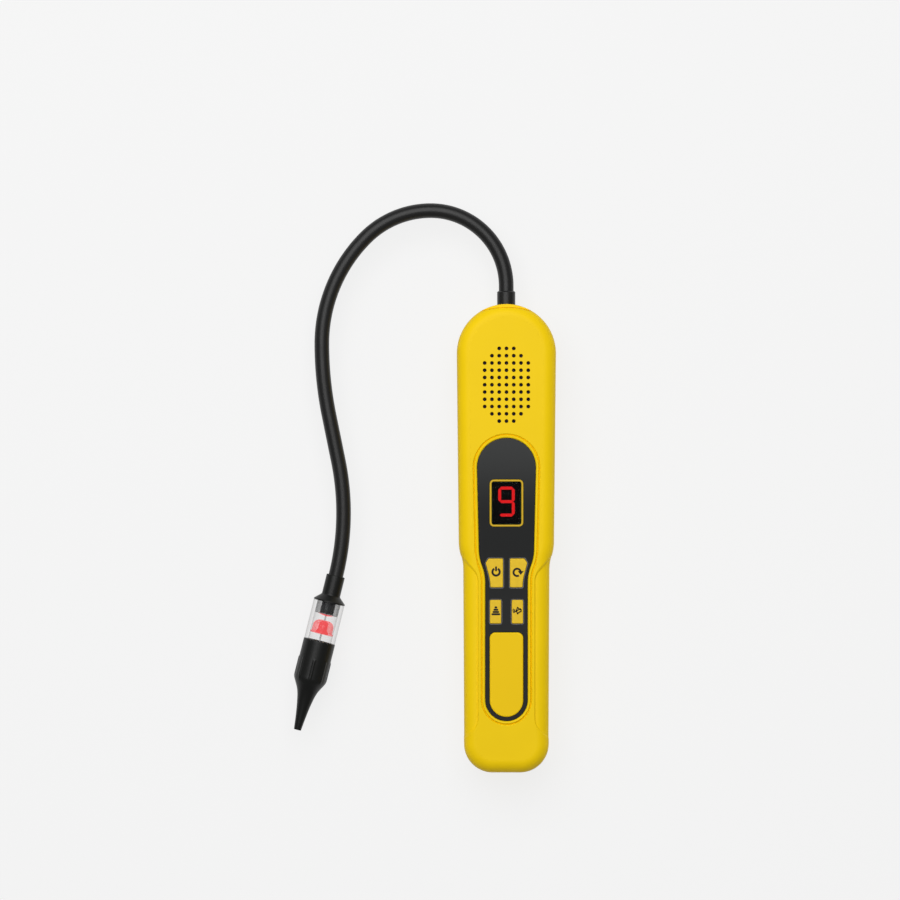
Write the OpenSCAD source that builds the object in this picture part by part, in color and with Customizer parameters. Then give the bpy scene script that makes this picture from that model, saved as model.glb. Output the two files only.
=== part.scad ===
// Handheld refrigerant leak detector lying on its flat back, display up.
// Millimetres. X across the case, Y along it towards the gooseneck, Z up from the flat back.

/* [Case] */
// Overall length of the case
case_length = 221; // [214:1:236]
// Width across the speaker head
head_width = 46.8; // [46:0.2:49]
// Width of the grip just below the shoulder
grip_width = 40.8; // [39.8:0.1:41.6]
// Depth from the flat back to the front face
case_depth = 32; // [31:0.5:38]
// Height of the parting plane above the flat back
parting_height = 16; // [15.5:0.5:17.5]
// Inward lean of the head sides in degrees
head_taper = 0.6; // [0.3:0.05:0.8]
// Inward lean of the grip sides in degrees
grip_taper = 0.3; // [0.1:0.05:0.4]
// Distance from the top of the case to the shoulder
shoulder_from_top = 112.3; // [108:0.5:116]
// Length of the S shaped shoulder
shoulder_length = 13; // [11:0.5:16]
// Plan radius of the butt corners
butt_radius = 13.5; // [12.5:0.25:14.5]
// Radius of the rounded front and back edges
edge_radius = 6; // [5.5:0.25:7]
// Wall thickness of the two shells
wall = 2.2; // [1.8:0.1:2.5]
// Thickness of the front face
front_wall = 2.8; // [2.6:0.1:3.2]
// Chamfer that leaves a fine groove along the parting line
seam = 0.35; // [0.2:0.05:0.5]

/* [Grip flanks] */
// Distance between the two long creases of the grip
crease_spacing = 26.8; // [25.6:0.2:28]
// How far the flanks lie below the front face
flank_drop = 0.8; // [0.4:0.1:1]
// How far the flanks lie inside the case outline
flank_inset = 0.1; // [0.1:0.05:0.4]
// Distance from the top of the case to the upper corner of a flank
flank_from_top = 127.7; // [125:0.5:131]
// Distance from the butt end to the lower corner of a flank
flank_from_butt = 22; // [19:0.5:24]
// Radius of the flank corners
flank_corner = 8; // [5:0.5:9]

/* [Fascia] */
// Distance from the top of the case to the fascia
fascia_from_top = 63.3; // [62:0.25:65]
// Length of the fascia
fascia_length = 133.2; // [131:0.5:135]
// Width of the fascia round the display
fascia_head_width = 27.6; // [27:0.2:28.2]
// Width of the fascia along the grip
fascia_grip_width = 19.9; // [19.5:0.1:20.3]
// Inward lean of the upper fascia sides in degrees
fascia_taper = 1.3; // [1:0.1:1.6]
// Distance from the fascia top to its shoulder
fascia_shoulder_from_top = 51; // [49:0.5:52]
// Length of the fascia shoulder
fascia_shoulder_length = 15.5; // [14:0.5:17]
// Thickness of the fascia plate
fascia_thickness = 1.05; // [0.8:0.05:1.2]
// How far the fascia lies below the front face
fascia_sink = 0.15; // [0.05:0.05:0.3]
// Width of the lip round the fascia
lip_width = 1.4; // [1.2:0.1:1.6]
// Width of the groove round the lip
groove_width = 0.5; // [0.3:0.05:0.6]
// Depth of that groove
groove_depth = 0.4; // [0.2:0.05:0.6]

/* [Thumb pad] */
// Width of the thumb pad that shows through the fascia
pad_width = 15.8; // [15.2:0.1:16.4]
// Fascia left between the lower keys and the thumb pad
pad_gap = 4.2; // [3.4:0.2:5]
// Fascia left below the thumb pad
pad_margin = 1.9; // [1.7:0.1:2.5]
// Radius of the upper pad corners
pad_corner = 2.7; // [2:0.1:4]

/* [Display] */
// Distance from the fascia top to the window centre
window_from_fascia = 30.6; // [29.6:0.2:31.6]
// Width of the display window
window_width = 14; // [13.8:0.1:14.8]
// Height of the display window
window_height = 20.3; // [19.9:0.1:21.5]
// Width of the bezel round the window
bezel_rim = 0.93; // [0.7:0.05:1.1]
// Height of the lit digit
digit_height = 14.1; // [12.5:0.1:14.6]
// Width of the lit digit
digit_width = 7.8; // [7:0.1:8.4]
// Width of one lit segment
segment_width = 1.4; // [1.1:0.05:1.7]
// Height of the digit above the window centre
digit_raise = 0.7; // [0:0.1:1]
// Depth of the display module
module_depth = 8; // [7:0.25:9]

/* [Keys] */
// Distance from the fascia top to the upper keys
upper_keys_from_fascia = 56.7; // [56:0.2:57.6]
// Height of the upper keys
upper_key_height = 13.6; // [12.6:0.2:14.2]
// Distance from the fascia top to the lower keys
lower_keys_from_fascia = 76.2; // [75.4:0.2:77.6]
// Height of the lower keys
lower_key_height = 11.1; // [10:0.1:12]
// Gap between the two upper keys
upper_key_gap = 3.26; // [2.9:0.1:3.6]
// Gap between the two lower keys
lower_key_gap = 5; // [4.6:0.1:5.4]
// Width of a lower key
lower_key_width = 5.3; // [5:0.1:5.6]
// Height of the keys above the front face
key_stand = 0.35; // [0.2:0.05:0.5]
// Travel of a key when pressed
key_travel = 0.5; // [0.3:0.05:0.6]
// Play round a key in the fascia
key_play = 0.15; // [0.1:0.05:0.2]

/* [Speaker] */
// Distance from the top of the case to the grille centre
grille_from_top = 38.2; // [37.4:0.2:40]
// Distance between neighbouring grille holes
grille_pitch = 3.42; // [3.2:0.02:3.5]
// Diameter of one grille hole
grille_hole = 1.75; // [1.4:0.05:2]
// Diameter of the speaker
speaker_diameter = 28; // [26:0.5:28.5]

/* [Power] */
// Diameter of one cell
cell_diameter = 10.5; // [10:0.1:10.6]
// Length of one cell with its button
cell_length = 44.5; // [43.5:0.1:45]
// Play between the battery door and the rear case
door_play = 0.2; // [0.1:0.05:0.3]

/* [Gooseneck] */
// Outer diameter of the gooseneck
neck_diameter = 7; // [6.6:0.1:7.2]
// Outer diameter of the bush that holds it
bush_diameter = 8.6; // [8.4:0.1:9]
// Length of the bush outside the case
bush_stand = 6.3; // [5:0.1:8]
// Straight length above the bush
neck_start = 2.4; // [2:0.1:4]
// Radius of the quarter bend above the bush
crown_radius = 35.7; // [34:0.1:38]
// Radius of the bend that follows the crown
brow_radius = 43.5; // [40:0.5:46]
// Radius of the bend down the outer side
side_radius = 71; // [68:0.5:74]
// Radius of the shallow bend at the lower side
lower_radius = 171; // [160:1:180]
// Straight length before the last bend
neck_straight = 21.9; // [20:0.1:26]
// Radius of the last bend, which turns the other way
return_radius = 123; // [115:1:130]

/* [Probe] */
// Diameter of the collar sleeve
collar_diameter = 8.8; // [8.2:0.1:9.2]
// Length of the collar sleeve
collar_length = 9.6; // [9:0.1:12]
// Length of the cone under the sleeve
collar_cone = 2.8; // [2:0.1:4]
// Outer diameter of the clear housing
housing_diameter = 15; // [14.6:0.1:15.2]
// Visible length of the clear housing
housing_length = 19.4; // [19:0.1:23]
// Bore of the clear housing round the lamp
housing_bore = 11.3; // [11:0.1:11.5]
// Outer diameter of the nose
nose_diameter = 15.2; // [15.1:0.1:15.6]
// Length of the straight part of the nose
nose_straight = 19; // [18:0.1:21]
// Length of the tapering nozzle
nozzle_length = 24.4; // [23:0.2:29]
// Diameter of the nozzle tip
tip_diameter = 3.4; // [2.8:0.1:3.8]

/* [Hidden] */
$fn = 64;

// Colours
case_yellow = "#f0c820";
key_yellow = "#dcb42c";
fascia_grey = "#3a3a3c";
black = "#202020";
dark_grey = "#303030";
steel = "#b8bcc0";
brass = "#c8a850";
board_green = "#2c6a3c";
lit_red = "#f81818";

// Small lengths used throughout
overlap = 1;
play = 0.1;
fine_play = 0.05;

// Case levels
top_y = case_length / 2;
butt_y = -case_length / 2;
front_z = case_depth;
front_height = case_depth - parting_height;
face_z = front_z - front_wall;
cavity_inset = wall + flank_inset;
inner_edge_radius = edge_radius - wall;

// A route is a list of [length, turn] steps: a straight when the turn is zero, else an arc.
function arc_length(radius, angle) = radius * angle * PI / 180;
function step_radius(step) = step[0] * 180 / (PI * abs(step[1]));
function right_of(heading) = [sin(heading), -cos(heading)];
function step_end(p, h, step) =
    step[1] == 0
    ? p + step[0] * [cos(h), sin(h)]
    : let (r = step_radius(step) * sign(step[1]))
      p + r * [sin(h + step[1]) - sin(h), cos(h) - cos(h + step[1])];
function trail(steps, p, h, i = 0) =
    i == len(steps)
    ? [[p, h]]
    : concat([[p, h]], trail(steps, step_end(p, h, steps[i]), h + steps[i][1], i + 1));
function length_to(steps, i) = i == 0 ? 0 : steps[i - 1][0] + length_to(steps, i - 1);

// Angle and radius of an S of two equal arcs that starts at lean a1 and ends at lean a2.
function s_angle(dx, dy, a1, a2) =
    let (q = dx / dy)
    atan(q) + acos((cos(a1) + cos(a2) + q * (sin(a1) + sin(a2))) / (2 * sqrt(1 + q * q)));
function s_radius(dy, angle, a1, a2) = dy / (2 * sin(angle) - sin(a1) - sin(a2));

// Right half of a long outline: dome, leaning side, S shoulder, lower side, rounded end.
function long_outline(half, y0, taper1, shoulder_y, low_half, shoulder, taper2, end_y, end_r) =
    let (
        side_x = half * cos(taper1),
        side_y = y0 - half - half * sin(taper1),
        side = (side_y - shoulder_y) / cos(taper1),
        dx = side_x - side * sin(taper1) - low_half,
        bend = s_angle(dx, shoulder, taper1, taper2),
        bend_r = s_radius(shoulder, bend, taper1, taper2),
        low = (shoulder_y - shoulder - end_y - end_r * (1 - sin(taper2))) / cos(taper2),
        end_x = low_half - low * sin(taper2) - end_r * cos(taper2),
        arcs = [
            [arc_length(half, 90 + taper1), -90 - taper1],
            [side, 0],
            [arc_length(bend_r, bend - taper1), taper1 - bend],
            [arc_length(bend_r, bend - taper2), bend - taper2],
            [low, 0],
            [arc_length(end_r, 90 - taper2), taper2 - 90]
        ]
    )
    end_x > 0.01 ? concat(arcs, [[end_x, 0]]) : arcs;

// Points along a route, moved to its right by an inset.
outline_angle = 7.5;
function step_points(p, h, step, inset) =
    let (n = step[1] == 0 ? 1 : ceil(abs(step[1]) / outline_angle))
    [for (k = [0:n - 1])
        step_end(p, h, step * k / n) + inset * right_of(h + step[1] * k / n)];
function route_points(steps, p, h, inset) =
    let (t = trail(steps, p, h))
    concat(
        [for (i = [0:len(steps) - 1]) each step_points(t[i][0], t[i][1], steps[i], inset)],
        [t[len(steps)][0] + inset * right_of(t[len(steps)][1])]
    );
function mirrored(points) = [for (i = [len(points) - 2:-1:1]) [-points[i].x, points[i].y]];
function closed_outline(steps, p, inset) =
    let (half = route_points(steps, p, 0, inset))
    concat(half, mirrored(half));

// Polygon corners rounded by arcs.
corner_steps = 5;
function unit(v) = v / norm(v);
function corner_arc(a, b, c, r) =
    let (
        ua = unit(a - b),
        uc = unit(c - b),
        half = acos(ua * uc) / 2,
        centre = b + unit(ua + uc) * r / sin(half),
        from = b + ua * r / tan(half) - centre,
        to = b + uc * r / tan(half) - centre,
        start = atan2(from.y, from.x),
        raw = atan2(to.y, to.x) - start,
        turn = raw > 180 ? raw - 360 : raw < -180 ? raw + 360 : raw
    )
    [for (k = [0:corner_steps])
        centre + r * [cos(start + turn * k / corner_steps), sin(start + turn * k / corner_steps)]];
function rounded(points, radii) =
    let (n = len(points))
    [for (i = [0:n - 1])
        each corner_arc(points[(i + n - 1) % n], points[i], points[(i + 1) % n], radii[i])];

module both_sides() {
    children();
    mirror([1, 0, 0]) children();
}

// Sweeps a profile along one step: profile x is the distance to the right, profile y is height.
module sweep_step(p, h, step) {
    translate([p.x, p.y, 0])
        if (step[1] == 0)
            rotate(h) rotate([90, 0, 90]) linear_extrude(step[0]) mirror([1, 0]) children();
        else if (step[1] < 0)
            translate(step_radius(step) * right_of(h))
                rotate(h + 90 + step[1])
                    rotate_extrude(angle = -step[1])
                        translate([step_radius(step), 0]) mirror([1, 0]) children();
        else
            translate(-step_radius(step) * right_of(h))
                rotate(h - 90)
                    rotate_extrude(angle = step[1])
                        translate([step_radius(step), 0]) children();
}

// Solid between rings of one long outline: each level is an [inset, height] pair.
module outline_loft(steps, p, levels) {
    rings = [for (l = levels) [for (q = closed_outline(steps, p, l[0])) [q.x, q.y, l[1]]]];
    n = len(rings[0]);
    last = len(levels) - 1;
    polyhedron(
        [for (ring = rings) each ring],
        concat(
            [[for (j = [0:n - 1]) n - 1 - j]],
            [for (k = [0:last - 1]) for (j = [0:n - 1])
                let (a = k * n + j, b = k * n + (j + 1) % n)
                [a, b, b + n, a + n]],
            [[for (j = [0:n - 1]) last * n + j]]
        )
    );
}

module prism(points, z0, z1) {
    translate([0, 0, z0]) linear_extrude(z1 - z0) polygon(points);
}

// Case outline
case_start = [0, top_y];
case_route = long_outline(
    head_width / 2, top_y, head_taper, top_y - shoulder_from_top,
    grip_width / 2, shoulder_length, grip_taper, butt_y, butt_radius
);

// Rings of a slab whose far edge is rounded and whose near edge may be chamfered
edge_rings = 5;
function edge_levels(inset, foot, height, radius, chamfer) =
    concat(
        chamfer > 0 ? [[inset + chamfer, foot], [inset, foot + chamfer]] : [[inset, foot]],
        [for (k = [0:edge_rings])
            let (a = 90 * k / edge_rings)
            [inset + radius * (1 - cos(a)), height - radius * (1 - sin(a))]]
    );

module case_slab(inset, foot, height, radius, chamfer) {
    outline_loft(case_route, case_start, edge_levels(inset, foot, height, radius, chamfer));
}

// Lowered grip flank, right side, in plan.
crease_x = crease_spacing / 2;
flank_top_y = top_y - flank_from_top;
flank_low_y = butt_y + flank_from_butt;
flank_reach = head_width - crease_x;
upper_crease_slope = 1.1;
lower_crease_slope = 0.85;
flank_plan = rounded(
    [
        [crease_x, flank_low_y],
        [crease_x + flank_reach, flank_low_y - flank_reach * lower_crease_slope],
        [crease_x + flank_reach, flank_top_y + flank_reach * upper_crease_slope],
        [crease_x, flank_top_y]
    ],
    [flank_corner, 1, 1, flank_corner]
);

module half_form(height, drop) {
    case_slab(flank_inset, 0, height - drop, edge_radius, seam);
    difference() {
        case_slab(0, 0, height, edge_radius, seam);
        both_sides() translate([0, 0, -overlap])
            linear_extrude(height + 2 * overlap) polygon(flank_plan);
    }
}

module half_shell(height, drop, face) {
    difference() {
        half_form(height, drop);
        case_slab(cavity_inset, -overlap, height - face, inner_edge_radius, 0);
    }
}

module rear_shell() {
    translate([0, 0, parting_height]) mirror([0, 0, 1]) half_shell(parting_height, 0, wall);
}

// Gooseneck route, from its tail inside the bush to its end inside the collar
neck_radius = neck_diameter / 2;
neck_tail = 18;
neck_grip = 4;
side_turn = 45;
lower_turn = 11.5;
return_turn = 25.5;
grip_turn = neck_grip / return_radius * 180 / PI;
bush_end_y = top_y + bush_stand;
neck_origin = [0, bush_end_y - neck_tail];
neck_route = [
    [neck_tail + neck_start, 0],
    [arc_length(crown_radius, 90), 90],
    [arc_length(brow_radius, side_turn), side_turn],
    [arc_length(side_radius, side_turn), side_turn],
    [arc_length(lower_radius, lower_turn), lower_turn],
    [neck_straight, 0],
    [arc_length(return_radius, return_turn) + neck_grip, -return_turn - grip_turn]
];
neck_trail = trail(neck_route, neck_origin, 90);
neck_end_s = length_to(neck_route, 7);
collar_s = neck_end_s - neck_grip;

// Stations of the neck joints along the route: one of them lifts, the others bend.
root_s = neck_tail + 10;
crown_end_s = length_to(neck_route, 2);
return_s = length_to(neck_route, 6);
stations = [
    root_s, (root_s + crown_end_s) / 2, crown_end_s, length_to(neck_route, 3),
    length_to(neck_route, 4), length_to(neck_route, 5), return_s, (return_s + collar_s) / 2
];
lift_station = 3;
ball_radius = neck_radius - 0.4;
socket_radius = ball_radius + 0.15;
lift_setback = 2.1;
ball_setback = 0.7;
socket_setback = 1.2;

function neck_step_at(s, i = 0) =
    i == len(neck_route) - 1 || s < length_to(neck_route, i + 1) ? i : neck_step_at(s, i + 1);
function neck_place(s, i) =
    let (f = (s - length_to(neck_route, i)) / neck_route[i][0])
    [step_end(neck_trail[i][0], neck_trail[i][1], neck_route[i] * f),
        neck_trail[i][1] + neck_route[i][1] * f];
function neck_point(s) = neck_place(s, neck_step_at(s))[0];
collar_at = neck_point(collar_s);
collar_heading = neck_place(collar_s, 6)[1];
function level(p) = [p.x, p.y, parting_height];

module neck_tube(s0, s1) {
    for (i = [0:len(neck_route) - 1]) {
        from = max(s0, length_to(neck_route, i));
        to = min(s1, length_to(neck_route, i + 1));
        place = neck_place(from, i);
        if (to > from + 1e-3)
            translate([0, 0, parting_height])
                sweep_step(place[0], place[1], neck_route[i] * (to - from) / neck_route[i][0])
                    circle(neck_radius);
    }
}

// The poles of each ball lie across the neck, clear of the seams of its tube.
module neck_ball(s, radius) {
    i = neck_step_at(s);
    translate(level(neck_point(s))) rotate([0, 0, neck_place(s, i)[1]]) rotate([50, 0, 0])
        sphere(radius);
}

module neck_link(index) {
    count = len(stations);
    from_socket = index == lift_station + 1 ? lift_setback : socket_setback;
    from_ball = index == lift_station ? lift_setback : ball_setback;
    s0 = index == 0 ? 0 : stations[index - 1] + from_socket;
    s1 = index == count ? neck_end_s : stations[index] - from_ball;
    difference() {
        union() {
            neck_tube(s0, s1);
            if (index < count)
                neck_ball(stations[index], ball_radius);
        }
        if (index > 0)
            neck_ball(stations[index - 1], socket_radius);
    }
}

// Probe: turned pieces stand on the collar start, with their own axis along the probe.
module on_probe() {
    translate(level(collar_at)) rotate([0, 0, collar_heading]) rotate([0, 90, 0]) children();
}
module turned(points) {
    rotate_extrude() polygon(points);
}

collar_radius = collar_diameter / 2;
cone_end = collar_length + collar_cone;
housing_start = cone_end + 0.6;
housing_end = cone_end + housing_length;
housing_radius = housing_diameter / 2;
bore_radius = housing_bore / 2;
nose_radius = nose_diameter / 2;
post_radius = 3.2;
post_end = housing_start + 5.5;
step_end_t = post_end + 1;
spigot_radius = nose_radius - 1.15;
spigot_length = 5.5;
spigot_end = housing_end + spigot_length;
lamp_base = housing_end - 3.4;
lamp_radius = bore_radius - 0.65;
lamp_flange_radius = bore_radius - 0.15;
lamp_flange = 0.8;
lamp_height = 6.6;
lamp_top = lamp_base - lamp_height;
lamp_round = 3.2;
core_radius = 2.15;
core_base_radius = 3.2;
core_height = 6.2;
core_flare = 1.8;
lead_radius = 0.35;
lead_depth = 0.8;
nozzle_start = housing_end + nose_straight;
nozzle_end = nozzle_start + nozzle_length;
tip_radius = tip_diameter / 2;

module probe_collar() {
    color(black) on_probe() turned([
        [neck_radius + play, 0], [collar_radius - 0.2, 0], [collar_radius, 0.3],
        [collar_radius, collar_length], [nose_radius - 0.1, cone_end],
        [nose_radius - 0.1, housing_start], [post_radius, housing_start],
        [post_radius, post_end], [0, post_end], [0, neck_grip + 0.3],
        [neck_radius + play, neck_grip + 0.3]
    ]);
}

module clear_housing() {
    groove_at = housing_end + spigot_length / 2;
    color([0.85, 0.9, 0.92, 0.4]) on_probe() difference() {
        turned([
            [post_radius + play, housing_start], [housing_radius, housing_start],
            [housing_radius, housing_end], [spigot_radius, housing_end],
            [spigot_radius, spigot_end], [bore_radius, spigot_end],
            [bore_radius, step_end_t], [post_radius + play, step_end_t]
        ]);
        rotate_extrude() translate([spigot_radius, groove_at]) circle(seal_radius + fine_play);
    }
}
seal_radius = 0.4;

module nose_seal() {
    color(black) on_probe() rotate_extrude()
        intersection() {
            translate([spigot_radius, housing_end + spigot_length / 2]) circle(seal_radius);
            square([spigot_radius, spigot_end]);
        }
}

// Outline of a flanged dome that stands on the lamp base, from its axis outwards
function lamp_profile(base, flange, radius, height, round, shift) =
    concat(
        [[0, shift], [base, shift], [base, -flange], [radius, -flange]],
        [for (k = [0:6])
            [radius - round * (1 - cos(15 * k)), round - height - round * sin(15 * k)]],
        radius > round ? [[0, -height]] : []
    );

module on_lamp() {
    on_probe() translate([0, 0, lamp_base]) children();
}

module lamp_dome() {
    color([0.95, 0.5, 0.52, 0.6]) on_lamp() difference() {
        turned(lamp_profile(lamp_flange_radius, lamp_flange, lamp_radius, lamp_height, lamp_round, 0));
        turned(lamp_profile(
            core_base_radius + play, core_flare + play, core_radius + play,
            core_height + play, core_radius + play, 1
        ));
    }
}

module lamp_core() {
    color(lit_red) on_lamp() difference() {
        turned(lamp_profile(core_base_radius, core_flare, core_radius, core_height, core_radius, 0));
        translate([0, 0, -lead_depth]) cylinder(r = lead_radius + fine_play, h = 2 * lead_depth);
    }
}

module lamp_leads() {
    color(steel) on_probe() {
        translate([0, 0, post_end]) cylinder(r = lead_radius, h = lamp_top - post_end);
        translate([0, 0, lamp_base - lead_depth])
            cylinder(r = lead_radius, h = base_top - lamp_base + lead_depth);
    }
}
base_top = housing_end + 1;
base_depth = spigot_length - 1;
can_radius = 4;
can_depth = 7;
pin_radius = 0.3;
pin_circle = 2.6;
pin_depth = 1.2;

module sensor_base() {
    color(dark_grey) on_probe() difference() {
        translate([0, 0, base_top]) cylinder(r = bore_radius - fine_play, h = base_depth);
        sensor_pin_set(pin_radius + fine_play);
    }
}
module sensor_pin_set(radius) {
    for (k = [0:3])
        rotate(45 + 90 * k) translate([pin_circle, 0, base_top - pin_depth])
            cylinder(r = radius, h = pin_depth + base_depth);
}
module sensor_pins() {
    color(brass) on_probe() sensor_pin_set(pin_radius);
}
module sensor_can() {
    mesh_radius = can_radius - 1;
    color(steel) on_probe() turned([
        [0, base_top + base_depth], [can_radius, base_top + base_depth],
        [can_radius, base_top + base_depth + can_depth - 0.6],
        [can_radius - 0.6, base_top + base_depth + can_depth],
        [mesh_radius, base_top + base_depth + can_depth],
        [mesh_radius, base_top + base_depth + can_depth - 0.8],
        [0, base_top + base_depth + can_depth - 0.8]
    ]);
}

// Concave nozzle: share of the nose radius left at each share of the nozzle length
nozzle_shape = [
    [0.02, 0.985], [0.05, 0.93], [0.1, 0.84], [0.17, 0.725], [0.25, 0.615],
    [0.37, 0.51], [0.5, 0.43], [0.63, 0.365], [0.8, 0.295]
];
nose_cavity_radius = can_radius + 1;
can_clearance = 3.5;
nose_cavity_end = spigot_end + can_depth + can_clearance;
funnel_length = 4.5;
funnel_end = nozzle_start + funnel_length;
nozzle_bore = 0.8;
rib_count = 8;
rib_radius = 0.9;
rib_stand = 0.3;
rib_length = 9;

module probe_nose() {
    ring_at = nose_radius + rib_stand - rib_radius;
    color(black) on_probe() difference() {
        union() {
            turned(concat(
                [[0, housing_end + fine_play], [nose_radius - 0.3, housing_end + fine_play],
                    [nose_radius, housing_end + 0.35], [nose_radius, nozzle_start]],
                [for (s = nozzle_shape)
                    [max(nose_radius * s[1], tip_radius), nozzle_start + nozzle_length * s[0]]],
                [[tip_radius, nozzle_end - 0.8], [tip_radius, nozzle_end], [0, nozzle_end]]
            ));
            for (k = [0:rib_count - 1])
                rotate(360 / rib_count * k) translate([ring_at, 0, nozzle_start - rib_length - 0.5]) {
                    cylinder(r = rib_radius, h = rib_length);
                    sphere(rib_radius);
                }
        }
        turned([
            [0, housing_end - 1], [spigot_radius + fine_play, housing_end - 1],
            [spigot_radius + fine_play, spigot_end + 0.3], [nose_cavity_radius, spigot_end + 0.3],
            [nose_cavity_radius, nose_cavity_end], [nozzle_bore, funnel_end],
            [nozzle_bore, nozzle_end + 1], [0, nozzle_end + 1]
        ]);
    }
}

module tip_filter() {
    color("white") on_probe() translate([0, 0, nose_cavity_end - 2])
        cylinder(r = nose_cavity_radius - fine_play, h = 1.8);
}

module neck_link_0() { color(dark_grey) neck_link(0); }
module neck_link_1() { color(dark_grey) neck_link(1); }
module neck_link_2() { color(dark_grey) neck_link(2); }
module neck_link_3() { color(dark_grey) neck_link(3); }
module neck_link_4() { color(dark_grey) neck_link(4); }
module neck_link_5() { color(dark_grey) neck_link(5); }
module neck_link_6() { color(dark_grey) neck_link(6); }
module neck_link_7() { color(dark_grey) neck_link(7); }
module neck_link_8() { color(dark_grey) neck_link(8); }

// Bush at the top of the case, held by its flange between the wall and a rib
bush_radius = bush_diameter / 2;
flange_radius = 7;
flange_depth = 2.2;
dome_y = top_y - head_width / 2;
inner_dome_radius = head_width / 2 - cavity_inset;
flange_face_y = dome_y + sqrt(pow(inner_dome_radius, 2) - pow(flange_radius, 2)) - 2 * play;
flange_y = flange_face_y - flange_depth;
tail_radius = bush_radius + 0.6;
rib_y = flange_y - play;
neck_rib_depth = 2;
neck_rib_half = 9;

module along_y(y) {
    translate([0, y, parting_height]) rotate([-90, 0, 0]) children();
}

module neck_bush() {
    end = bush_end_y - neck_origin.y;
    flange = flange_y - neck_origin.y;
    color(black) along_y(neck_origin.y) turned([
        [neck_radius + fine_play, 0.5], [tail_radius, 0.5], [tail_radius, flange],
        [flange_radius, flange], [flange_radius, flange + flange_depth],
        [bush_radius, flange + flange_depth], [bush_radius, end - 0.5],
        [bush_radius - 0.5, end], [neck_radius + fine_play, end]
    ]);
}

module bush_cut() {
    along_y(flange_face_y) cylinder(r = bush_radius + fine_play, h = 3 * wall + bush_stand);
    along_y(rib_y - neck_rib_depth - overlap)
        cylinder(r = tail_radius + fine_play, h = neck_rib_depth + overlap + fine_play);
}

module neck_rib(z0, z1) {
    translate([-neck_rib_half, rib_y - neck_rib_depth, z0])
        cube([2 * neck_rib_half, neck_rib_depth, z1 - z0]);
}

// Fascia
fascia_y = top_y - fascia_from_top;
fascia_end_y = fascia_y - fascia_length;
fascia_gap = 0.1;
recess = fascia_thickness + fascia_sink;
recess_z = front_z - recess;
fascia_top_z = recess_z + fascia_thickness;
fascia_start = [0, fascia_y];
fascia_route = long_outline(
    fascia_head_width / 2, fascia_y, fascia_taper, fascia_y - fascia_shoulder_from_top,
    fascia_grip_width / 2, fascia_shoulder_length, 0, fascia_end_y, fascia_grip_width / 2
);

function fascia_plan(grow) = closed_outline(fascia_route, fascia_start, -grow);

pad_low_y = fascia_end_y + pad_margin;
pad_length =
    fascia_length - lower_keys_from_fascia - lower_key_height - pad_gap - pad_margin;
function pad_plan(grow) =
    let (half = pad_width / 2 + grow, low = pad_low_y - grow, high = pad_low_y + pad_length + grow)
    rounded(
        [[-half, low], [half, low], [half, high], [-half, high]],
        [half - 0.01, half - 0.01, pad_corner + grow, pad_corner + grow]
    );

window_y = fascia_y - window_from_fascia;
window_corner = 1.1;
function window_plan(grow) =
    let (x = window_width / 2 + grow, y = window_height / 2 + grow, r = max(window_corner + grow, 0.3))
    rounded(
        [[-x, window_y - y], [x, window_y - y], [x, window_y + y], [-x, window_y + y]],
        [r, r, r, r]
    );
window_ledge = 0.35;

// Keys, right side in plan
upper_key_y = fascia_y - upper_keys_from_fascia;
lower_key_y = fascia_y - lower_keys_from_fascia;
key_corner = 0.6;
upper_key_top = 6.77;
upper_key_side = 8.17;
upper_key_foot = 5.97;
upper_key_knee = 2.1;
function upper_key_plan(grow) =
    let (inner = upper_key_gap / 2, r = key_corner + grow)
    rounded(
        [
            [inner - grow, upper_key_y + grow],
            [inner - grow, upper_key_y - upper_key_height - grow],
            [inner + upper_key_foot + grow, upper_key_y - upper_key_height - grow],
            [inner + upper_key_side + grow, upper_key_y - upper_key_knee],
            [inner + upper_key_top + grow, upper_key_y + grow]
        ],
        [r, r, r, r, r]
    );
function lower_key_plan(grow) =
    let (
        inner = lower_key_gap / 2 - grow,
        outer = lower_key_gap / 2 + lower_key_width + grow,
        high = lower_key_y + grow,
        low = lower_key_y - lower_key_height - grow,
        r = key_corner + grow
    )
    rounded([[inner, high], [inner, low], [outer, low], [outer, high]], [r, r, r, r]);

key_top_z = front_z + key_stand;
key_flange = 0.9;
flange_reach = 0.8;
key_flange_z = face_z - play - key_flange;
switch_x = 5.2;
upper_switch_y = upper_key_y - upper_key_height / 2;
lower_switch_y = lower_key_y - lower_key_height / 2;
switch_side = 6;
switch_body = 3.5;
plunger_radius = 1.75;
stem_radius = 1.6;

module key_body(plan, flange_plan, y) {
    prism(plan, key_flange_z + key_flange / 2, key_top_z);
    prism(flange_plan, key_flange_z, key_flange_z + key_flange);
    translate([switch_x, y, stem_z]) cylinder(r = stem_radius, h = key_flange_z - stem_z + 0.1);
}
module upper_key() { key_body(upper_key_plan(0), upper_key_plan(flange_reach), upper_switch_y); }
module lower_key() { key_body(lower_key_plan(0), lower_key_plan(flange_reach), lower_switch_y); }
module power_key() { color(key_yellow) mirror([1, 0, 0]) upper_key(); }
module reset_key() { color(key_yellow) upper_key(); }
module sensitivity_key() { color(key_yellow) mirror([1, 0, 0]) lower_key(); }
module mute_key() { color(key_yellow) lower_key(); }

module key_openings(grow, z0, z1) {
    both_sides() {
        prism(upper_key_plan(grow), z0, z1);
        prism(lower_key_plan(grow), z0, z1);
    }
}

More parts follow.
